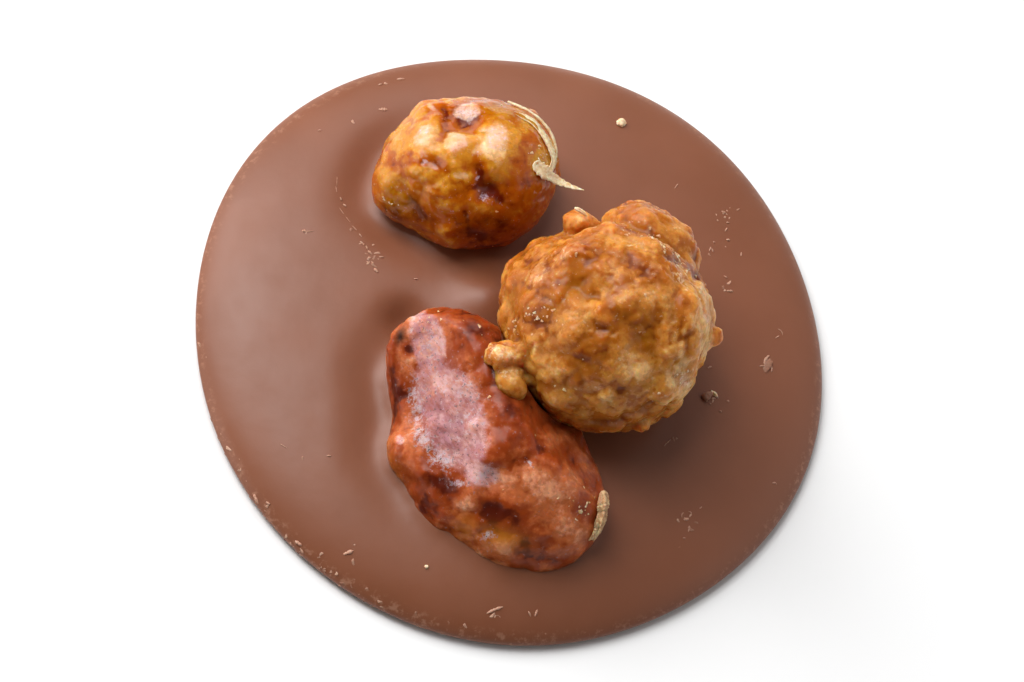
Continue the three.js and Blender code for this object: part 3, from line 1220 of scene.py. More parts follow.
GLOSSY_HAZELNUT = CoatedNut(
    node="glossy_hazelnut",
    slot="amber_caramel",
    centre=(-4.15, 12.95, 7.2),
    half_sizes=(7.7, 6.3, 6.3),
    turn=0,
    voxel=0.1,
    facets=((90, 58, 6.0), (200, 40, 6.7)),
    bumps=(
        (-162, 12, 0.9, 16), (123, 5, 0.6, 14), (45, 0, 0.5, 18), (-50, 15, 0.1, 16), (-15, 0, -0.2, 14),
        (-100, 18, 0.4, 14), (-30, 66, -0.6, 10), (95, 45, -0.5, 14), (165, 45, 0.3, 14),
    ),
    crags=Crags(count=36, height=0.24, spread=13, seed=19),
    crust=Crust(lump_size=2.0, lump_height=0.15, softness=0.6, wave_size=4.0, wave_height=0.1,
                knob_size=0.9, knob_height=0.035, grain_size=0.35, grain_height=0.008, seed=8.0),
    marks=(
        *marks(POOL, (-0.4, 4.7, 1.5, 0.9, 0, 0.7, 0.4), (-2, 4.7, 0.45, 1.1, 10, 0.6, 0.1),
            (2.6, 5.8, 1.6, 0.5, -10, 0.6), (4.2, -1.8, 1.8, 1.4, 0, 0.45),
            (-6.2, -3.2, 1.6, 0.8, -35, 0.6), (-2.7, 0.8, 0.8, 0.5, -20, 0.8, 0.15),
            (-3.9, 0.7, 0.5, 0.4, 0, 0.9, 0.1), (0.9, -0.2, 0.6, 1.2, 8, 0.85, 0.25),
            (1.9, -1.6, 0.7, 1.4, 38, 0.85, 0.2), (1.1, -2.1, 0.6, 0.5, 0, 0.7, 0.2),
            (-4, -3.4, 2.2, 1.2, -25, 0.6, 0.15), (2, -5, 4.5, 1.3, 8, 0.5)),
        # These silvery marks paint highlights of the light: its reflection in the top hollow and three
        # small glints.
        *marks(SILVER, (-0.3, 5.1, 1.1, 0.5, 0, 0.7), (-3.7, 0.9, 0.35, 0.2, -30, 1),
            (0.7, -0.5, 0.3, 0.2, 0, 0.9), (1.3, -2.2, 0.5, 0.4, -40, 0.9)),
        # The first bloom mark, at (-0.2, 5.1), paints the soft reflection of the light in the top hollow as
        # a milky patch.
        *marks(BLOOM, (-0.2, 5.1, 1.2, 0.8, 0, 1.1), (-1.1, 2.4, 1.2, 1.1, 0, 0.9),
            (2.4, 2.9, 1, 1.4, 10, 0.9), (-4, 3.2, 0.7, 1.1, -35, 0.8), (-3.2, 5.5, 0.7, 0.4, -40, 0.7),
            (-0.8, -0.3, 0.9, 0.5, 0, 0.6), (5, 2.4, 1, 0.7, 0, 0.4)),
        *marks(AMBER, (-6, -2.2, 1.8, 1.3, -30, 0.7), (2.6, 5.2, 2.2, 0.9, -10, 0.7)),
        *marks(PALE, (-5.6, 2.6, 1.2, 1.6, -25, 0.5), (-1, 2.2, 1.3, 1.2, 0, 1, -0.25),
            (2.1, 2, 1.2, 2, 10, 1, -0.2), (-3.7, 3.3, 0.9, 1.2, -35, 0.9, -0.2),
            (-4.7, 0.1, 1, 0.6, 0, 0.8, -0.15), (-0.6, -0.4, 1, 0.5, 0, 0.8, -0.15),
            (-2.1, -0.8, 0.8, 0.6, 0, 0.5), (-6.7, -0.8, 1, 0.9, 0, 0.8, -0.2),
            (-1.8, -5.2, 1, 0.8, -30, 0.6, -0.3), (-4.6, 5.2, 1.4, 0.7, 50, 0.4)),
        *marks(SMOOTH, (4.3, 1.5, 2.4, 3.6, 0, 0.8)),
        *marks(SUGAR, (5.8, 1.7, 0.6, 0.6, 0, 1), (-6.7, -2.6, 0.7, 0.7, 0, 0.5)),
    ),
    finish=CaramelFinish(
        name="amber_caramel", deep="641802", body="a85204", light="c28220", pale="dcb27e", milky="d8ae96",
        dusk="c8965e", grey="d6bcc2", patch=1.8, contrast=0.6, clear_gloss=0.14,
        grainy_gloss=0.3, coat=0.16, grain=0.2, glow=0.85, reach=2.6, specular=0.24, amber="9a6400",
    ),
)

CRAGGY_HAZELNUT = CoatedNut(
    node="craggy_hazelnut",
    slot="golden_caramel",
    centre=(6.49, -2.21, 11.08),
    half_sizes=(9.0, 9.1, 8.5),
    turn=0,
    voxel=0.135,
    facets=(),
    bumps=(
        (150, 0, 0.6, 20), (62, 4, -1.1, 24), (22, 0, -0.7, 11), (118, 66, -0.7, 15), (-40, 62, -0.5, 12),
        (35, 30, -0.5, 9), (60, 30, 0.5, 12), (108, 8, -1.1, 15), (-20, 0, -1.3, 20), (-60, 10, -0.5, 18),
    ),
    crags=Crags(count=80, height=0.46, spread=9.5, seed=31),
    crust=Crust(lump_size=2.1, lump_height=0.24, softness=0.4, wave_size=4.5, wave_height=0.12,
                knob_size=0.75, knob_height=0.075, grain_size=0.3, grain_height=0.03, seed=5.0),
    lobes=(
        Lobe((3.4, 6.6, -1.8), (4.6, 3.1, 3.9), -45), Lobe((-2.6, 8.3, -0.5), (1.75, 1.15, 1.5), -10),
        Lobe((5.5, 0, 3.3), (2.5, 4, 4), -8), Lobe((8.55, -0.85, 0.6), (0.75, 0.7, 0.75)),
        Lobe((2.5, -8.5, 1), (0.7, 0.6, 0.7)), Lobe((-9.4, -2.5, 4.5), (1.25, 1.3, 1.2), 0, 0.04),
        Lobe((-8.3, -2.4, 4.3), (1.3, 1.2, 1.2), 0, 0.04), Lobe((-8.3, -4.8, 4.1), (1.3, 1.6, 1.3), 15),
        Lobe((-8.9, -3.4, 3.9), (1.1, 1.2, 1.2), 0), Lobe((-7.3, -2.5, 3.5), (1.3, 0.8, 1.1), 0),
    ),
    marks=(
        *marks(POOL, (-3.3, 3.1, 1.5, 0.9, 35, 0.3, 0.4), (7.2, 4, 0.5, 0.5, 0, 1, 0.5),
            (-5.4, 4.6, 4.2, 2.6, 45, 0.35), (-7.2, 0.8, 1.6, 2.4, 0, 0.25),
            (2.8, 8.6, 3.4, 1.6, -35, 0.25), (0.2, 1.1, 0.6, 0.8, 0, 0.5, 0.15),
            (-0.7, -0.3, 0.5, 0.5, 0, 0.5, 0.15), (2.7, -1.6, 1, 1.2, 0, 0.3, 0.25),
            (2, 4.8, 1.9, 1.1, -20, 0.35), (-2.1, -2.7, 1.7, 1.3, 0, 0.45),
            (5.6, 2.3, 0.5, 0.7, 0, 0.7, 0.2), (6.3, -2.2, 0.3, 0.8, 0, 0.5, 0.1),
            (5, 6.6, 3.4, 0.22, -42, 0.4, 0.12), (-0.6, -8.2, 2.6, 0.8, 0, 0.15),
            (0.6, -5.6, 0.3, 1.2, 10, 0.5, 0.1)),
        *marks(AMBER, (-3.2, 3, 1.8, 1.2, 35, 0.9), (0.4, 1, 1, 1.2, 0, 0.5),
            (2.6, -1.6, 1.2, 1.4, 0, 0.6), (3.4, 9, 2.6, 1.2, -40, 0.3)),
        # Many pale marks on the lower and right sides, such as those at (2.2, -3.6), (0.5, -6.6), (5.7,
        # -2.4) and (7.6, 1), paint light onto sides that face away from the lamps; the others are pale
        # sugar.
        *marks(PALE, (-0.8, 4.2, 1.6, 1, 0, 0.5), (4.8, 7.3, 1.8, 0.8, -45, 0.4),
            (5.2, -5, 1.8, 1.4, -30, 1), (3.4, -4.4, 2.2, 2.4, 0, 0.6), (5.7, -2.4, 1.3, 1.6, 0, 1.1),
            (2.2, -3.6, 1.8, 1.6, 0, 0.9), (0.5, -6.6, 2.8, 1.2, 0, 0.6),
            (-6.3, 3.6, 1.3, 1.6, 20, 0.3, -0.1), (-5.4, 6, 1.6, 0.8, 25, 0.5),
            (-1.6, 1.5, 1.2, 0.9, 20, 0.6, -0.2), (-3.7, 0.5, 0.9, 0.8, 0, 0.5, -0.15),
            (1, 2.2, 0.9, 1.3, -20, 0.45, -0.15), (4, 2.9, 0.8, 0.9, 0, 0.6, -0.15),
            (4.6, 0.2, 0.7, 1.6, -10, 0.6, -0.15), (6, -0.6, 0.25, 1.6, -5, 1, -0.2),
            (5.4, -3.4, 0.8, 0.6, 0, 0.9), (6.1, -4.7, 0.7, 0.7, 0, 1),
            (-6, -1.6, 1.2, 0.9, 0, 0.5, -0.15), (-4.6, -3.7, 0.9, 0.4, -25, 0.9, -0.1),
            (3, -6, 1.6, 1, 0, 0.9, -0.15), (0.8, 7.2, 1.6, 0.6, -10, 0.7), (-9.2, -2.2, 1.6, 1.2, 0, 1.1),
            (-8.4, -4.6, 1.2, 1.5, 0, 0.5), (7.6, 1, 1.1, 2.8, 0, 1.2), (7.8, -2.2, 0.9, 1.6, 15, 1),
            (-7.3, 5.3, 1.3, 0.8, 30, 0.2), (-2.2, 1.7, 1.3, 0.8, 10, 0.5), (3.6, 2.6, 0.8, 1, 0, 0.6),
            (5.3, -1.4, 0.6, 2, -5, 0.7), (2.4, 8.9, 2.6, 1, -30, 0.2), (5.8, -3, 0.7, 1, 0, 0.6),
            (-2.6, 8.6, 1.3, 0.8, -10, 0.5)),
        *marks(BLOOM, (-1.2, 4.2, 2, 0.9, 0, 0.5), (3.6, 4.6, 1.4, 1.4, 0, 0.45),
            (5.9, -4.6, 0.9, 0.9, 0, 0.7), (8, 1.2, 0.8, 2, 0, 0.6), (6.7, 0.4, 0.7, 2.4, -8, 0.4),
            (-2.1, -5.2, 1.7, 0.9, 0, 0.6), (-6, 4.2, 1.6, 2, 20, 0.45), (-3.4, 6.2, 3, 0.8, 12, 0.5),
            (0.6, 5.6, 1.4, 0.8, 0, 0.5), (1.5, 7.3, 1.6, 0.7, -20, 0.5), (-6, -1.8, 1.4, 0.8, 0, 0.4)),
        # These silvery marks paint glints of the light: on the ridge, on the crumb at the left and on the
        # lower right.
        *marks(SILVER, (5.5, 4, 1.3, 0.25, -55, 0.6), (-9.6, -2.1, 1.2, 0.8, -10, 0.8),
            (-8.4, -2.5, 0.6, 0.5, 0, 0.7), (-8.8, -4.1, 0.5, 0.5, 0, 0.5),
            (6.2, -4.9, 0.6, 0.4, -50, 0.7), (1.7, 6.6, 0.6, 0.14, 0, 0.9), (1.3, 8.6, 0.5, 0.2, 25, 0.7)),
        *marks(SMOOTH, (3.2, 8.6, 3, 1.2, -30, 0.6), (6.4, 6.2, 1.8, 1, -60, 0.6),
            (0.6, 4, 1.6, 1.6, 0, 0.5)),
        *marks(SUGAR, (-6.2, 1, 1.1, 0.9, 0, 1), (-8.4, -0.2, 0.4, 1, 0, 0.8),
            (-3.9, -4.9, 1.2, 0.6, 0, 0.5), (5.6, -4.4, 1, 0.9, 0, 0.7), (4, -6.2, 1.4, 0.7, 0, 0.5),
            (1.4, 7.8, 1.4, 0.8, 0, 0.4), (4.6, 6.3, 2.6, 0.4, -45, 0.8), (7.6, 3.2, 0.5, 1.2, 0, 0.6)),
    ),
    finish=CaramelFinish(
        name="golden_caramel", deep="7a3608", body="a25c18", light="be7e34", pale="d8aa72", milky="d4a482",
        dusk="b87e4c", grey="ecd8b8", patch=2.0, contrast=0.85, clear_gloss=0.27,
        grainy_gloss=0.42, coat=0.0, grain=0.45, glow=0.9, reach=3.2, specular=0.18, amber="a05c08",
    ),
)

NUTS = (ALMOND, GLOSSY_HAZELNUT, CRAGGY_HAZELNUT)


# ---- Chocolate ------------------------------------------------------------------------------


@dataclass(frozen=True)
class Wave:
    """One slow wave of the outline: how many round the disc, how high, turned how far in degrees."""

    count: int
    height: float
    turn: float


@dataclass(frozen=True)
class Swell:
    """A slow rise or hollow of the chocolate's face."""

    at: Pair
    height: float
    width: float


@dataclass(frozen=True)
class Scuff:
    """A place where the chocolate is scratched and crumbs cling to it."""

    at: Pair
    width: float
    strength: float = 1.0


@dataclass(frozen=True)
class ChocolateDisc:
    """The poured disc: a flat foot, a thin round edge and a domed face that climbs the nuts."""

    node: str = "chocolate_disc"
    slot: str = "chocolate"
    diameter: float = 53.96
    height: float = 4.9
    edge_height: float = 0.75
    foot_inset: float = 0.7
    shoulder: float = 2.7
    shoulder_round: float = 0.62
    smooth_border: float = 2.5
    worn_towards: float = 140
    lip_height: float = 0.65
    dent_at: float = 0.6
    dent_width: float = 2.4
    dents: tuple[Triple, ...] = ((0.95, 165, 0.7), (1.2, 168, 0.4), (0.3, 170, 0.4))
    calm: float = 1.5
    dent_calm: float = 9.0
    steps: int = 270
    grid_share: float = 0.992
    rim_shares: tuple[float, ...] = (0.9945, 0.9965, 0.998, 0.9992, 1.0)
    edge_climbs: tuple[float, ...] = (72, 54, 36, 18, 0)
    foot_shares: Triple = (0.85, 0.6, 0.3)
    worn_spread: float = 35.0
    worn_strength: float = 0.35
    waves: tuple[Wave, ...] = (Wave(3, 0.15, 45), Wave(4, 0.15, -145), Wave(5, 0.12, -90))
    swells: tuple[Swell, ...] = (
        Swell((-2.6, 2.3), 1.25, 2.6), Swell((-9.5, 0.3), -1.05, 1.8),
    )
    scuffs: tuple[Scuff, ...] = tuple(Scuff(row[:2], *row[2:]) for row in (
        (-10.4, 20.5, 0.35, 0.8), (-9.2, 23.5, 0.5, 0.5), (-13.2, 19.5, 0.4, 0.5), (-17.7, 8.5, 0.3, 0.6),
        (-14.3, 11.5, 0.2, 0.8), (-13.9, 10, 0.2, 0.8), (-13.4, 8.9, 0.35, 0.8), (-12.7, 7.3, 0.5),
        (-12.2, 6, 0.45), (18.6, 12, 0.8, 0.5), (18.6, 9.1, 0.35, 0.8), (17.2, 7.8, 0.35, 0.8),
        (18.4, 5, 0.4, 0.8), (22.8, 1.2, 0.5, 0.5), (21.6, -1.8, 0.7, 0.6), (16.3, -5.2, 0.5),
        (17.9, -6, 0.4, 0.8), (14, -16.1, 0.7, 0.6), (13.2, -18.6, 0.3, 0.6), (-2.6, -24.9, 0.7, 0.6),
        (0.6, -25, 0.4, 0.7), (-14.7, -20.1, 0.5, 0.6), (-19, -12.2, 0.4, 0.6), (-22, -15.2, 0.6, 0.8),
        (-18.9, -18.9, 0.5, 0.8), (12.7, -9.5, 0.2, 0.7), (22, -12.2, 0.2, 0.6),
    ))

    def shell(self) -> tuple[Array, Array, list]:
        """Closed shell of the disc before its face is raised.

        Returns:
            The points, 1 for each point of the face and 0 for the others, and the faces.
        """
        half, steps = self.diameter / 2, self.steps
        line = np.linspace(-1, 1, steps + 1)
        a, b = (grid.ravel() for grid in np.meshgrid(line, line, indexing="ij"))
        wide = np.abs(a) > np.abs(b)
        radius = np.where(wide, a, b)
        safe = np.where(radius == 0, 1, radius)
        angle = np.where(wide, b / safe * math.pi / 4, math.pi / 2 - a / safe * math.pi / 4)
        inner = self.grid_share * half
        grid = np.stack([radius * np.cos(angle) * inner, radius * np.sin(angle) * inner, 0 * a], axis=1)
        start = (np.arange(steps)[:, None] * (steps + 1) + np.arange(steps)[None, :]).ravel()
        faces = np.stack([start, start + steps + 1, start + steps + 2, start + 1], axis=1).tolist()
        side = np.arange(steps)
        border = np.concatenate([
            steps * (steps + 1) + side,
            (steps - side) * (steps + 1) + steps,
            steps - side,
            side * (steps + 1),
        ])
        turn = np.arctan2(grid[border, 1], grid[border, 0])
        rings = [(share * half, 0.0, True) for share in self.rim_shares]
        for climb in np.radians(self.edge_climbs):
            out = half - self.foot_inset * (1 - math.sin(climb))
            rings.append((out, self.edge_height * (1 - math.cos(climb)), False))
        rings += [(half * share, 0.0, False) for share in self.foot_shares]
        points, on_face, before = [grid], [np.ones(len(grid))], border
        for out, level, is_face in rings:
            first = sum(len(part) for part in points)
            ring = np.stack([out * np.cos(turn), out * np.sin(turn), np.full(len(turn), level)], axis=1)
            now = first + np.arange(len(turn))
            faces += np.stack([before, now, np.roll(now, -1), np.roll(before, -1)], axis=1).tolist()
            points.append(ring)
            on_face.append(np.full(len(turn), float(is_face)))
            before = now
        centre = sum(len(part) for part in points)
        points.append(np.zeros((1, 3)))
        on_face.append(np.zeros(1))
        faces += [[int(p), centre, int(q)] for p, q in zip(before, np.roll(before, -1))]
        return np.concatenate(points), np.concatenate(on_face), faces

    def pour_tree(self) -> ShapeTree:
        """Tree that raises the flat shell into the poured disc and lets its outline wave.

        Returns:
            The tree. It works on points whose attribute face is 1.
        """
        b = ShapeTree(
            "PouredDisc",
            {"Diameter": self.diameter, "Height": self.height, "Edge Height": self.edge_height,
             "Shoulder": self.shoulder, "Shoulder Round": self.shoulder_round, "Waviness": 1.0},
        )
        place = b.node("ShaderNodeSeparateXYZ", {0: b.node("GeometryNodeInputPosition").outputs[0]})
        x, y, z = place.outputs
        half = b.times(b.size("Diameter"), MM / 2)
        out = b.math("SQRT", b.math("ADD", b.times(x, x), b.times(y, y)))
        share = b.math("MINIMUM", b.math("DIVIDE", out, half), 1.0)
        fall = b.math("POWER", b.minus(1.0, b.math("POWER", share, b.size("Shoulder"))),
                      b.size("Shoulder Round"))
        dome = b.minus(b.size("Height"), b.size("Edge Height"))
        level = b.times(b.times_plus(dome, fall, b.size("Edge Height")), MM)
        lifted = b.times_plus(b.minus(level, z), b.stored("face"), z)
        angle = b.math("ARCTAN2", y, x)
        swing: Any = 0.0
        for wave in self.waves:
            phase = b.times_plus(angle, float(wave.count), -math.radians(wave.turn))
            swing = b.times_plus(b.math("COSINE", phase), wave.height, swing)
        stretch = b.times_plus(b.times(swing, 2 / self.diameter), b.size("Waviness"), 1.0)
        target = b.node("ShaderNodeCombineXYZ", {0: b.times(x, stretch), 1: b.times(y, stretch), 2: lifted})
        b.close(b.moved(b.size("Geometry"), {"Position": target.outputs[0]}))
        return b

    def lattice(self) -> Array:
        """Square grid of places over the disc, level with its dome.

        Returns:
            Rows of x, y and z, one for each place.
        """
        line = np.linspace(-0.5, 0.5, self.steps + 1) * self.diameter
        x, y = (grid.ravel() for grid in np.meshgrid(line, line, indexing="ij"))
        share = np.minimum(np.hypot(x, y) / (self.diameter / 2), 1)
        dome = (self.height - self.edge_height) * (1 - share**self.shoulder) ** self.shoulder_round
        return np.stack([x, y, self.edge_height + dome], axis=1)

    def sampled(self, values: Array, points: Array) -> Array:
        """Numbers of the lattice at any places, drawn smoothly from the nine nearest of its own.

        Args:
            values: one for each place of the lattice.
            points: rows that start with x and y.

        Returns:
            One number for each row.
        """
        grid = values.reshape(self.steps + 1, self.steps + 1)
        at = np.clip((points[:, :2] / self.diameter + 0.5) * self.steps, 1, self.steps - 1)
        middle = np.rint(at).astype(int)
        off = at - middle
        shares = (0.5 * (0.5 - off) ** 2, 0.75 - off**2, 0.5 * (0.5 + off) ** 2)
        total = np.zeros(len(points))
        for i, j in np.ndindex(3, 3):
            total += shares[i][:, 0] * shares[j][:, 1] * grid[middle[:, 0] + i - 1, middle[:, 1] + j - 1]
        return total

    def relief(self, points: Array, apart: list[Array]) -> Array:
        """How far the face rises or sinks because of the nuts and the swells.

        Args:
            points: rows of places of the lattice.
            apart: for each nut, the distance from its skin of every place.

        Returns:
            One height for each place.
        """
        rise = np.zeros(len(points))
        for nut, distance, (depth, faced, lip_width) in zip(NUTS, apart, self.dents):
            away = points[:, :2] - np.array(nut.centre[:2])
            towards = away @ heading(faced, 0)[:2] / np.maximum(np.hypot(away[:, 0], away[:, 1]), 1)
            share = (0.5 + 0.5 * towards) ** 3
            lip = (0.4 + 0.6 * share) * self.lip_height * np.exp(-distance / lip_width)
            ring = self.calmed(distance, self.dent_calm) - self.dent_at
            rise += self.calmed(lip, self.calm) - depth * share * bell(ring, self.dent_width)
        for swell in self.swells:
            rise += swell.height * bell(away_from(swell.at, points), swell.width)
        return rise

    def build(self, cutters: list[Object], material: Material) -> Object:
        """Pour the disc and press the nuts into it.

        Args:
            cutters: the nuts, a trace smaller than they are shown.
            material: the finish.

        Returns:
            The disc.
        """
        points, on_face, faces = self.shell()
        disc = mesh_object("poured_chocolate", points, faces)
        paint(disc, "face", on_face)
        self.pour_tree().shape(disc, material)
        places = points_of(disc)
        face = np.flatnonzero(on_face > 0)
        lattice = self.lattice()
        rise = self.relief(lattice, [self.distances(lattice, cutter) for cutter in cutters])
        border = np.clip((self.diameter / 2 - np.hypot(*points[face, :2].T)) / self.smooth_border, 0, 1)
        places[face, 2] += self.sampled(rise, places[face]) * border
        move_points(disc, places)
        for cutter in cutters:
            socket = disc.modifiers.new("socket", "BOOLEAN")
            socket.object = cutter
            socket.operation = "DIFFERENCE"
            socket.solver = "MANIFOLD"
        settle(disc)
        disc.data.set_sharp_from_angle(angle=math.radians(60))
        self.paint_wear(disc)
        return disc

    def calmed(self, values: Array, cells: float) -> Array:
        """Blur numbers over the lattice, so that the nuts' crags don't print through the face.

        Args:
            values: one for each place of the lattice.
            cells: how many cells wide the blur is.

        Returns:
            The blurred numbers.
        """
        side, reach = self.steps + 1, math.ceil(2.5 * cells)
        grid = values.reshape(side, side)
        kernel = bell(np.arange(-reach, reach + 1), math.sqrt(2) * cells)
        kernel /= kernel.sum()
        for axis in (0, 1):
            padded = np.pad(grid, [(reach, reach) if axis == k else (0, 0) for k in (0, 1)], mode="edge")
            windows = [np.take(padded, np.arange(side) + k, axis=axis) for k in range(len(kernel))]
            grid = sum(share * window for share, window in zip(kernel, windows))
        return grid.ravel()

    @staticmethod
    def distances(points: Array, nut: Object) -> Array:
        """Distance of each point from a nut's skin, 0 inside it.

        Args:
            points: rows of places in the disc's frame.
            nut: the nut.

        Returns:
            One distance for each place.
        """
        tree = BVHTree.FromObject(nut, bpy.context.evaluated_depsgraph_get())
        result = np.full(len(points), 30.0)
        corners = points_of(nut)
        near = np.all((points > corners.min(0) - 8) & (points < corners.max(0) + 8), axis=1)
        for i in np.flatnonzero(near):
            spot = Vector(points[i] * MM)
            hit, normal, _, gap = tree.find_nearest(spot)
            result[i] = 0.0 if (spot - hit).dot(normal) < 0 else gap / MM
        return result

    def paint_wear(self, disc: Object) -> None:
        """Store where crumbs cling as litter, and the dusty rim as edge.

        Args:
            disc: the finished disc.
        """
        places = points_of(disc)
        litter = np.zeros(len(places))
        for scuff in self.scuffs:
            litter = np.maximum(litter, scuff.strength * bell(away_from(scuff.at, places), scuff.width))
        out = np.hypot(places[:, 0], places[:, 1])
        rim = np.clip((out - self.diameter / 2 + 0.9) / 0.6, 0, 1)
        turn = np.degrees(np.arctan2(places[:, 1], places[:, 0]))
        worn = self.worn_strength * bell(turn + self.worn_towards, self.worn_spread)
        litter = np.maximum(litter, rim * worn)
        litter[places[:, 2] < 0.3] = 0
        paint(disc, "litter", litter)
        paint(disc, "edge", rim)


# ---- Fine pieces ----------------------------------------------------------------------------


def closed_piece(name: str, points: Array, faces: list, material: Material) -> Object:
    """Make a closed piece whose faces point outwards.

    Args:
        name: the piece's name.
        points: rows of places in the disc's frame.
        faces: rows of point indices, all the same way round.
        material: its finish.

    Returns:
        The piece.
    """
    obj = mesh_object(name, points, faces)
    obj.data.materials.append(material)
    corners, volume = points_of(obj), 0.0
    for polygon in obj.data.polygons:
        spots = corners[list(polygon.vertices)]
        for i in range(1, len(spots) - 1):
            volume += float(np.dot(spots[0], np.cross(spots[i], spots[i + 1])))
    if volume < 0:
        obj.data.flip_normals()
    return obj


@dataclass(frozen=True)
class PaperyFlake:
    """A strip of dry skin that stands off a nut's coat, curled and ragged.

    Attributes:
        name: the piece's name.
        nut: the nut that it clings to.
        path: rows of right, up and height over the skin, from its root to its tip.
        width: half its width.
        curl: how far its outer edge stands up.
        seed: of its ragged edge.
        slender: 1 where it narrows all the way to its tip, 0 where only its end narrows.
        lowest: height over the nut's middle that it doesn't sink below.
    """

    name: str
    nut: CoatedNut
    path: tuple[Triple, ...]
    width: float
    curl: float
    seed: int
    slender: float = 0.0
    lowest: float = 1.0
    thickness: float = 0.14
    stations: int = 90

    def loft(self) -> tuple[Array, list]:
        """Points and faces of the strip in the nut's own frame.

        Returns:
            The points and the faces.
        """
        knots = np.linspace(0, 1, len(self.path))
        along = np.linspace(0, 1, self.stations)
        skin = np.array([self.nut.on_skin(right, up) for right, up, _ in self.path])
        skin[:, 2] = np.maximum(skin[:, 2], self.lowest)
        skin *= (1 + np.array([lift for _, _, lift in self.path]) / np.linalg.norm(skin, axis=1))[:, None]
        middle = np.stack([np.interp(along, knots, skin[:, k]) for k in range(3)], axis=1)
        padded = np.pad(middle, ((5, 5), (0, 0)), mode="reflect", reflect_type="odd")
        even = np.ones(11) / 11
        middle = np.stack([np.convolve(padded[:, k], even, mode="valid") for k in range(3)], axis=1)
        towards = middle / np.linalg.norm(middle, axis=1, keepdims=True)
        forward = np.gradient(middle, axis=0)
        forward /= np.linalg.norm(forward, axis=1, keepdims=True)
        side = np.cross(towards, forward)
        side /= np.linalg.norm(side, axis=1, keepdims=True)
        rng = np.random.default_rng(self.seed)
        ragged = np.convolve(rng.uniform(-1, 1, self.stations + 2), np.ones(3) / 3, mode="valid")
        taper = (1.02 - along ** (4 - 3 * self.slender)) ** (0.5 + 0.4 * self.slender)
        taper = np.minimum(along / 0.12 + 0.1, 1) ** 0.5 * taper
        half = self.width * taper * (1 + 0.25 * ragged)
        across = np.array([-1, -0.5, 0, 0.5, 1, 1, 0.5, 0, -0.5, -1])
        face = np.array([1, 1, 1, 1, 1, -1, -1, -1, -1, -1])
        points = []
        for i in range(self.stations):
            bow = self.curl * (np.clip(across, 0, 1) ** 2) * (1 + 0.4 * ragged[i]) - 0.12 * (1 - across**2)
            out = bow * taper[i] + face * self.thickness / 2 * (1 - 0.6 * np.abs(across))
            points.append(middle[i] + side[i] * (across * half[i])[:, None] + towards[i] * out[:, None])
        return np.concatenate(points), tube_faces(self.stations, len(across))

    def build(self, material: Material) -> Object:
        """Make the flake in place in the disc."""
        points, faces = self.loft()
        return closed_piece(self.name, self.nut.in_disc(points), faces, material)


@dataclass(frozen=True)
class Splinter:
    """A sliver of bare wood or skin that sticks to a nut's coat, grooved along its length.

    Attributes:
        name: the piece's name.
        nut: the nut that it sticks to.
        centre: its middle in the nut's own frame.
        size: its thickness, length and depth.
        turn: how far it is turned anticlockwise, in degrees.
        seed: of its grooves.
    """

    name: str
    nut: CoatedNut
    centre: Triple
    size: Triple
    turn: float
    seed: int
    stations: int = 40
    sides: int = 24

    def build(self, material: Material) -> Object:
        """Make the splinter in place in the disc.

        Args:
            material: its finish.

        Returns:
            The splinter.
        """
        rng = np.random.default_rng(self.seed)
        angle = np.arange(self.sides) * math.tau / self.sides
        grooves = 1 + 0.2 * np.sin(5 * angle + rng.uniform(0, 6)) + 0.16 * rng.uniform(-1, 1, self.sides)
        thickness, length, depth = self.size
        points = []
        for along in np.linspace(-0.5, 0.5, self.stations):
            swell = (1 - (2 * abs(along)) ** 3) ** 0.6 * (0.8 + 0.4 * (along + 0.5))
            swell = max(swell, 0.05) * (1 + 0.16 * rng.uniform(-1, 1))
            bend = 0.35 * (2 * along) ** 2 * thickness
            ring = np.stack([
                thickness / 2 * swell * grooves * np.cos(angle) - bend,
                np.full(self.sides, along * length) + 0.05 * length * swell * np.cos(angle),
                depth / 2 * swell * grooves * np.sin(angle),
            ], axis=1)
            points.append(ring)
        local = np.concatenate(points) @ upright_turn(self.turn).T + np.array(self.centre)
        faces = tube_faces(self.stations, self.sides)
        return closed_piece(self.name, self.nut.in_disc(local), faces, material)


@dataclass(frozen=True)
class Strewing:
    """Small grains of one kind strewn over a surface where its attribute litter says."""

    grains_per_mm2: float
    smallest: float
    largest: float
    stretch: float
    thickness: float
    seed: int

    def build(self, name: str, surface: Object, tree: ShapeTree, material: Material) -> Object:
        """Strew the grains.

        Args:
            name: the piece's name.
            surface: the object that they lie on.
            tree: the tree that strews them.
            material: their finish.

        Returns:
            All the grains as one object.
        """
        obj = bpy.data.objects.new(name, surface.data.copy())
        bpy.context.collection.objects.link(obj)
        sizes = {label.capitalize(): value for label, value in vars(self).items()}
        tree.shape(obj, material, **sizes)
        obj.data.name = name
        return obj


@dataclass(frozen=True)
class LooseCrumb:
    """A single crumb that lies on the chocolate: its place, half sizes, turn and the seed of its lumps."""

    name: str
    at: Pair
    half_sizes: Triple
    turn: float
    seed: int
    is_pale: bool = True

    def build(self, surface: Object, material: Material) -> Object:
        """Lay the crumb on the surface.

        Args:
            surface: the object that it lies on.
            material: its finish.

        Returns:
            The crumb.
        """
        tree = BVHTree.FromObject(surface, bpy.context.evaluated_depsgraph_get())
        above = Vector((*self.at, 30.0)) * MM
        seat = tree.ray_cast(above, Vector((0, 0, -1)))[0] / MM
        centre = (*self.at, seat.z + 0.6 * self.half_sizes[2])
        obj = mesh_object(self.name, *Lobe(centre, self.half_sizes, self.turn, 0.3).shell(16, self.seed))
        obj.data.materials.append(material)
        return obj


@dataclass(frozen=True)
class Scrape:
    """A curl scraped off the chocolate: its place, length, width, turn in degrees and sideways bend."""

    at: Pair
    length: float
    width: float
    turn: float
    bend: float = 0.0


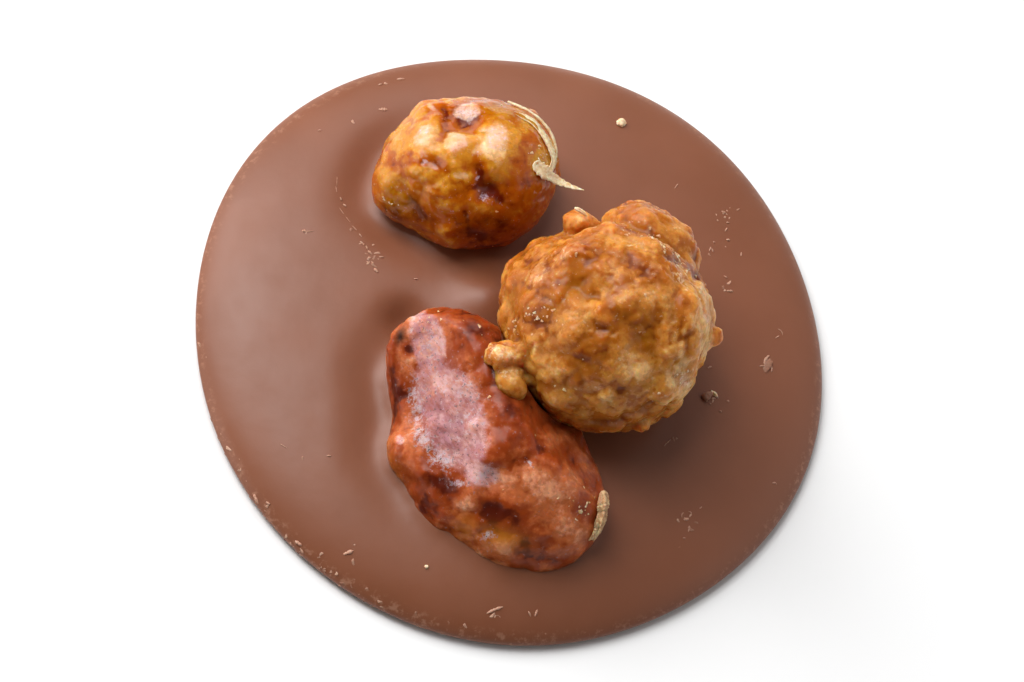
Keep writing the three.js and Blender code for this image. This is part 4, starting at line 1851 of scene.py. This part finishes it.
@dataclass(frozen=True)
class Scrapings:
    """Fine pale curls that lie on the chocolate where it was scratched."""

    name: str
    scrapes: tuple[Scrape, ...]
    thickness: float = 0.09
    stations: int = 14
    sides: int = 8
    seed: int = 11

    def build(self, surface: Object, material: Material) -> Object:
        """Lay all the curls on the surface as one object.

        Args:
            surface: the object that they lie on.
            material: their finish.

        Returns:
            The object.
        """
        tree = BVHTree.FromObject(surface, bpy.context.evaluated_depsgraph_get())
        rng = np.random.default_rng(self.seed)
        angle = np.arange(self.sides) * math.tau / self.sides
        rings, faces = [], []
        for scrape in self.scrapes:
            ahead, aside = heading(scrape.turn, 0), heading(scrape.turn + 90, 0)
            first = len(rings) * self.sides
            for along in np.linspace(-0.5, 0.5, self.stations):
                taper = (1.02 - (2 * abs(along)) ** 2.5) ** 0.6 * (1 + 0.4 * rng.uniform(-1, 1))
                middle = np.array([*scrape.at, 0.0]) + ahead * along * scrape.length
                middle += aside * scrape.bend * (1 - (2 * along) ** 2)
                spot = Vector((middle[0], middle[1], 30.0)) * MM
                middle[2] = tree.ray_cast(spot, Vector((0, 0, -1)))[0].z / MM + 0.01
                across = aside * (scrape.width / 2 * taper * np.cos(angle))[:, None]
                upwards = min(self.thickness, 0.6 * scrape.width) * taper * np.sin(angle)
                rings.append(middle + across + np.array([0, 0, 1]) * upwards[:, None])
            faces += tube_faces(self.stations, self.sides, first)
        return closed_piece(self.name, np.concatenate(rings), faces, material)


# ---- Stage ----------------------------------------------------------------------------------


@dataclass(frozen=True)
class SoftBox:
    """A square soft light: where it stands round the disc in degrees, and its power."""

    name: str
    azimuth: float
    elevation: float
    power: float
    distance: float = 0.6
    side: float = 0.32

    def build(self) -> None:
        """Hang the light, facing the disc."""
        light = bpy.data.lights.new(self.name, "AREA")
        light.size = self.side
        light.energy = self.power
        lamp = bpy.data.objects.new(self.name, light)
        towards = Vector(heading(self.azimuth, self.elevation))
        lamp.location = towards * self.distance
        lamp.rotation_euler = towards.to_track_quat("Z", "Y").to_euler()
        bpy.context.collection.objects.link(lamp)


@dataclass(frozen=True)
class Stage:
    """The pale floor, the soft lights and the camera."""

    azimuth: float = -26.74
    elevation: float = 63.3
    roll: float = 26.74
    lens: float = 400
    distance: float = 0.9555
    aim: Triple = (0.0, 0.0, 2.0)
    surround: float = 0.03
    lights: tuple[SoftBox, ...] = (
        SoftBox("key_low", 135, 15, 0.9),
        SoftBox("key_middle", 135, 40, 2.3),
        SoftBox("key_high", 135, 65, 2.2),
        SoftBox("back", 90, 40, 0.85),
        SoftBox("side", 45, 40, 0.5, side=0.7),
        SoftBox("right", 0, 50, 0.38, side=0.7),
        SoftBox("low_left", 180, 15, 0.95),
        SoftBox("low_right", -12, 13, 1.15, side=0.7),
        SoftBox("low_front", 270, 15, 0.08),
    )

    def build(self) -> None:
        """Lay the floor, light it and place the camera."""
        self.lay_floor()
        self.fill_air()
        for light in self.lights:
            light.build()
        self.place_camera()

    def lay_floor(self) -> None:
        """Lay a white sheet just under the disc."""
        half = 900.0
        corners = np.array([[-half, -half, 0], [half, -half, 0], [half, half, 0], [-half, half, 0]])
        floor = mesh_object("floor", corners, [[0, 1, 2, 3]])
        material = bpy.data.materials.new("white_paper")
        material.use_nodes = True
        shader = material.node_tree.nodes["Principled BSDF"]
        shader.inputs["Base Color"].default_value = (0.84, 0.84, 0.84, 1)
        shader.inputs["Roughness"].default_value = 0.8
        shader.inputs["Specular IOR Level"].default_value = 0.2
        floor.data.materials.append(material)

    def fill_air(self) -> None:
        """Fill the scene with an even white light."""
        world = bpy.data.worlds.new("white_room")
        world.use_nodes = True
        backdrop = world.node_tree.nodes["Background"]
        backdrop.inputs["Color"].default_value = (1, 1, 1, 1)
        backdrop.inputs["Strength"].default_value = self.surround
        bpy.context.scene.world = world

    def place_camera(self) -> None:
        """Place the camera at the photograph's angle, turned about its own axis as there."""
        camera = bpy.data.cameras.new("camera")
        camera.lens = self.lens
        camera.sensor_width = 36
        turn, climb = math.radians(self.azimuth), math.radians(self.elevation)
        flat = math.cos(climb)
        back = Vector((math.sin(turn) * flat, -math.cos(turn) * flat, math.sin(climb)))
        obj = bpy.data.objects.new("camera", camera)
        level = back.to_track_quat("Z", "Y")
        roll = Matrix.Rotation(math.radians(self.roll), 4, back)
        stand = Matrix.Translation(Vector(self.aim) * MM + back * self.distance)
        obj.matrix_world = stand @ roll @ level.to_matrix().to_4x4()
        bpy.context.collection.objects.link(obj)
        bpy.context.scene.camera = obj


# ---- The whole ------------------------------------------------------------------------------

# Copies of the nuts that cut their sockets are coarser and a trace smaller than the nuts.
CUTTER_COARSER = 2.4
CUTTER_SHRINK = 0.07

# A little sugar also lies on every coat above this height.
STRAY_SUGAR = 0.006
STRAY_ABOVE = 6.0

FLAKES = (
    PaperyFlake(
        "papery_flake", GLOSSY_HAZELNUT,
        ((3.7, 5.0, 0.0), (5.2, 4.2, 0.1), (6.1, 3.0, 0.15), (6.6, 1.9, 0.2), (6.9, 1.0, 0.2),
         (6.6, 0.2, 0.2), (6.0, -0.1, 0.2)),
        width=0.36, curl=0.15, seed=4,
    ),
    PaperyFlake(
        "papery_tail", GLOSSY_HAZELNUT,
        ((5.3, 0.7, 0.1), (6.0, 0.0, 0.3), (6.9, -0.65, 0.45), (7.9, -1.1, 0.6), (8.8, -1.36, 0.8)),
        width=0.68, curl=0.15, seed=9, slender=1.0, lowest=2.4,
    ),
    PaperyFlake(
        "papery_edge", GLOSSY_HAZELNUT,
        ((3.2, 6.0, 0.0), (4.6, 5.3, 0.1), (5.9, 4.4, 0.1), (6.8, 3.3, 0.1), (7.2, 2.0, 0.1),
         (7.2, 1.2, 0.1)),
        width=0.09, curl=0.08, seed=14,
    ),
)
SPLINTERS = (
    Splinter("bare_shard", ALMOND, (9.55, -6.1, 1.6), (0.85, 4.3, 1.6), -10, seed=2),
    Splinter("bare_shard_side", ALMOND, (9.2, -7.2, 1.7), (0.7, 2.2, 1.4), -24, seed=5),
    Splinter("bare_shard_tip", ALMOND, (9.85, -4.9, 1.4), (0.5, 2.0, 1.2), -2, seed=8),
    Splinter("pale_sliver", CRAGGY_HAZELNUT, (-2.5, 9.45, 1.2), (0.28, 1.3, 0.35), 58, seed=6),
)
LOOSE_CRUMBS = (
    LooseCrumb("cream_crumb", (10.1, 20.2), (0.42, 0.34, 0.26), 20, seed=3),
    LooseCrumb("pale_chip", (16.7, -5.0), (0.32, 0.17, 0.15), -40, seed=7),
    LooseCrumb("pale_grain", (-8.4, -21.3), (0.17, 0.14, 0.12), 0, seed=5),
    LooseCrumb("brown_crumb", (16.0, -5.3), (0.45, 0.36, 0.3), 30, seed=9, is_pale=False),
    LooseCrumb("brown_smear", (21.6, -1.8), (0.6, 0.34, 0.08), 60, seed=4, is_pale=False),
)
CRUMBS = Strewing(grains_per_mm2=5.0, smallest=0.05, largest=0.26, stretch=2.6, thickness=0.5, seed=12)
GRAINS = Strewing(grains_per_mm2=5.5, smallest=0.05, largest=0.24, stretch=2.0, thickness=0.6, seed=3)
SCRAPES = Scrapings("pale_scratches", tuple(Scrape(row[:2], *row[2:]) for row in (
    (-10.4, 20.5, 0.8, 0.3, 0), (-8.6, 23.8, 0.7, 0.2, 5), (-10.4, 23.2, 0.4, 0.15, 20),
    (-17.8, 8.5, 0.35, 0.26, 0), (-17.4, 8.45, 0.8, 0.1, 5), (-15.9, 18.4, 0.3, 0.14, 0),
    (-13.5, 8.9, 0.6, 0.08, -50), (-13.05, 8.2, 0.4, 0.1, -58), (-12.95, 7.4, 0.5, 0.22, -45),
    (-12.6, 7, 0.4, 0.14, -75), (-12.35, 6.5, 0.55, 0.18, -48), (-11.4, 6.1, 0.45, 0.16, -5),
    (-12.2, 5.5, 0.4, 0.16, -60), (-11.95, 4.8, 0.5, 0.24, -50), (-12.55, 5.9, 0.25, 0.12, 30),
    (-14.5, 11.7, 0.35, 0.14, -75), (-14.2, 11.1, 0.35, 0.16, -40), (-14.75, 13.4, 0.9, 0.045, 84),
    (-14.85, 12.6, 0.6, 0.05, 95), (-14.5, 10.5, 0.7, 0.045, -60), (-14, 9.7, 0.6, 0.05, -55),
    (-8.6, 4.1, 0.35, 0.15, 0), (-16.4, -11.9, 0.4, 0.14, 0), (-20.1, -10.9, 0.7, 0.1, -35),
    (-14.8, -20, 0.9, 0.28, 18), (-2.6, -24.7, 1.5, 0.26, 22, 0.05), (0.35, -24.9, 0.5, 0.16, -60),
    (0.9, -24.8, 0.6, 0.18, 70), (-22.2, -15, 0.9, 0.28, -65), (-21.3, -15.5, 0.4, 0.2, -40),
    (-18.8, -18.9, 0.7, 0.3, -40), (-18.5, -19.5, 0.5, 0.15, -55), (18.6, 4.7, 0.55, 0.2, 5),
    (18.3, 6, 0.35, 0.16, -30), (17.1, 8.5, 0.5, 0.14, 65), (17.3, 8.4, 0.4, 0.12, 110),
    (17.5, 9.2, 0.2, 0.14, 0), (18.8, 9.6, 0.35, 0.2, 10), (18.7, 10.6, 0.45, 0.14, 60),
    (18.6, 12.3, 0.4, 0.16, -20), (19.9, 8.4, 0.4, 0.12, 80), (18.9, 11.3, 0.25, 0.14, 0),
    (14.5, 14.3, 0.6, 0.1, 55), (20, 12.8, 0.4, 0.12, 40), (16.4, -2.6, 0.4, 0.2, 30),
    (16.2, -5, 0.5, 0.26, -35), (16.6, -5.4, 0.4, 0.2, 20), (17.9, -5.5, 0.25, 0.2, 0),
    (17.2, -6.5, 0.22, 0.16, 0), (16.3, -5.9, 0.2, 0.14, 0), (21.6, -1.3, 1.1, 0.22, 60, 0.1),
    (21.9, -1.9, 0.9, 0.16, 100, -0.1), (21.2, -1.9, 0.7, 0.12, 15), (23, 1.5, 0.7, 0.1, -50, 0.15),
    (22.7, 1, 0.5, 0.1, 40), (13.9, -16.2, 0.5, 0.24, 20), (14.2, -15.7, 0.5, 0.1, -50, 0.15),
    (13.6, -15.9, 0.5, 0.1, 70, 0.1), (13.7, -17.8, 0.25, 0.14, 0), (15.2, -15.1, 0.3, 0.1, 40),
    (12.5, -9.6, 0.6, 0.08, 45), (12.2, -9.9, 0.4, 0.07, 50), (21.9, -12.1, 0.35, 0.12, 20),
)))


class ChocolateNutDisc:
    """The whole sweet: the chocolate, its nuts and the fine pieces on them."""

    def __init__(self) -> None:
        """Make the trees and the finishes that the pieces share."""
        self.crust = crust_tree()
        self.strewn = scatter_tree()
        self.cream = FlakeFinish("dry_skin", light="f4e0bf", dark="dcb482").material()
        self.wood = FlakeFinish("bare_wood", light="dcbd8e", dark="a9764a").material()

    def cutters(self) -> list[Object]:
        """Coarse copies of the nuts, a trace smaller, that hollow out their sockets.

        Returns:
            One object for each nut.
        """
        made = []
        for nut in NUTS:
            avoid = CRAGGY_HAZELNUT if nut is ALMOND else None
            obj = nut.build(self.crust, f"{nut.node}_cutter", avoid=avoid, coarser=CUTTER_COARSER)
            normals = np.empty(len(obj.data.vertices) * 3)
            obj.data.vertex_normals.foreach_get("vector", normals)
            move_points(obj, points_of(obj) - CUTTER_SHRINK * normals.reshape(-1, 3))
            made.append(obj)
        return made

    def build(self) -> None:
        """Make every piece, fix it to the body and report it."""
        cutters = self.cutters()
        disc = ChocolateDisc()
        chocolate = disc.build(cutters, ChocolateFinish().material())
        self.hand_over(chocolate, disc.slot, disc.node)
        discard(*cutters)
        crumb_finish = GrainFinish("crumb", "8a5c44", "bf937a", 0.6, 0.1).material()
        crumbs = CRUMBS.build("chocolate_crumbs", chocolate, self.strewn, crumb_finish)
        self.hand_over(crumbs, disc.slot)
        grain_finish = GrainFinish("sugar", "c48850", "e8c49e", 0.15, 0.5).material()
        for nut in NUTS:
            avoid = CRAGGY_HAZELNUT if nut is ALMOND else None
            coated = nut.build(self.crust, f"coated_{nut.node}", nut.finish.material(), avoid)
            self.hand_over(coated, nut.slot, nut.node)
            sugared = np.empty(len(coated.data.vertices), dtype=np.float32)
            coated.data.attributes["sugar"].data.foreach_get("value", sugared)
            paint(coated, "litter", sugared + STRAY_SUGAR * (points_of(coated)[:, 2] > STRAY_ABOVE))
            self.hand_over(GRAINS.build(f"{nut.node}_sugar", coated, self.strewn, grain_finish), nut.slot)
        scraped = GrainFinish("scraped_chocolate", "b0826a", "dcb89c", 0.55, 0.1).material()
        self.hand_over(SCRAPES.build(chocolate, scraped), disc.slot)
        for crumb in LOOSE_CRUMBS:
            finish = self.cream if crumb.is_pale else crumb_finish
            self.hand_over(crumb.build(chocolate, finish), disc.slot)
        for flake in FLAKES:
            self.hand_over(flake.build(self.cream), flake.nut.slot)
        for splinter in SPLINTERS:
            finish = self.wood if splinter.nut is ALMOND else self.cream
            self.hand_over(splinter.build(finish), splinter.nut.slot)

    @staticmethod
    def hand_over(piece: Object, slot: str, *nodes: str) -> None:
        """Fix a finished piece to the body.

        Args:
            piece: the finished piece.
            slot: the material slot of its finish; not used.
            *nodes: the nodes it stands for.
        """
        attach(piece, BODY)
        if nodes:
            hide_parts(*nodes)
        piece.data.calc_loop_triangles()
        LOG.info("%s: %d triangles", piece.name, len(piece.data.loop_triangles))


def main() -> None:
    """Build the sweet and its stage, and set the view transform."""
    logging.basicConfig(level=logging.INFO, format="%(name)s: %(message)s")
    ChocolateNutDisc().build()
    Stage().build()
    bpy.context.scene.view_settings.view_transform = "Standard"


if __name__ == "__main__":
    main()
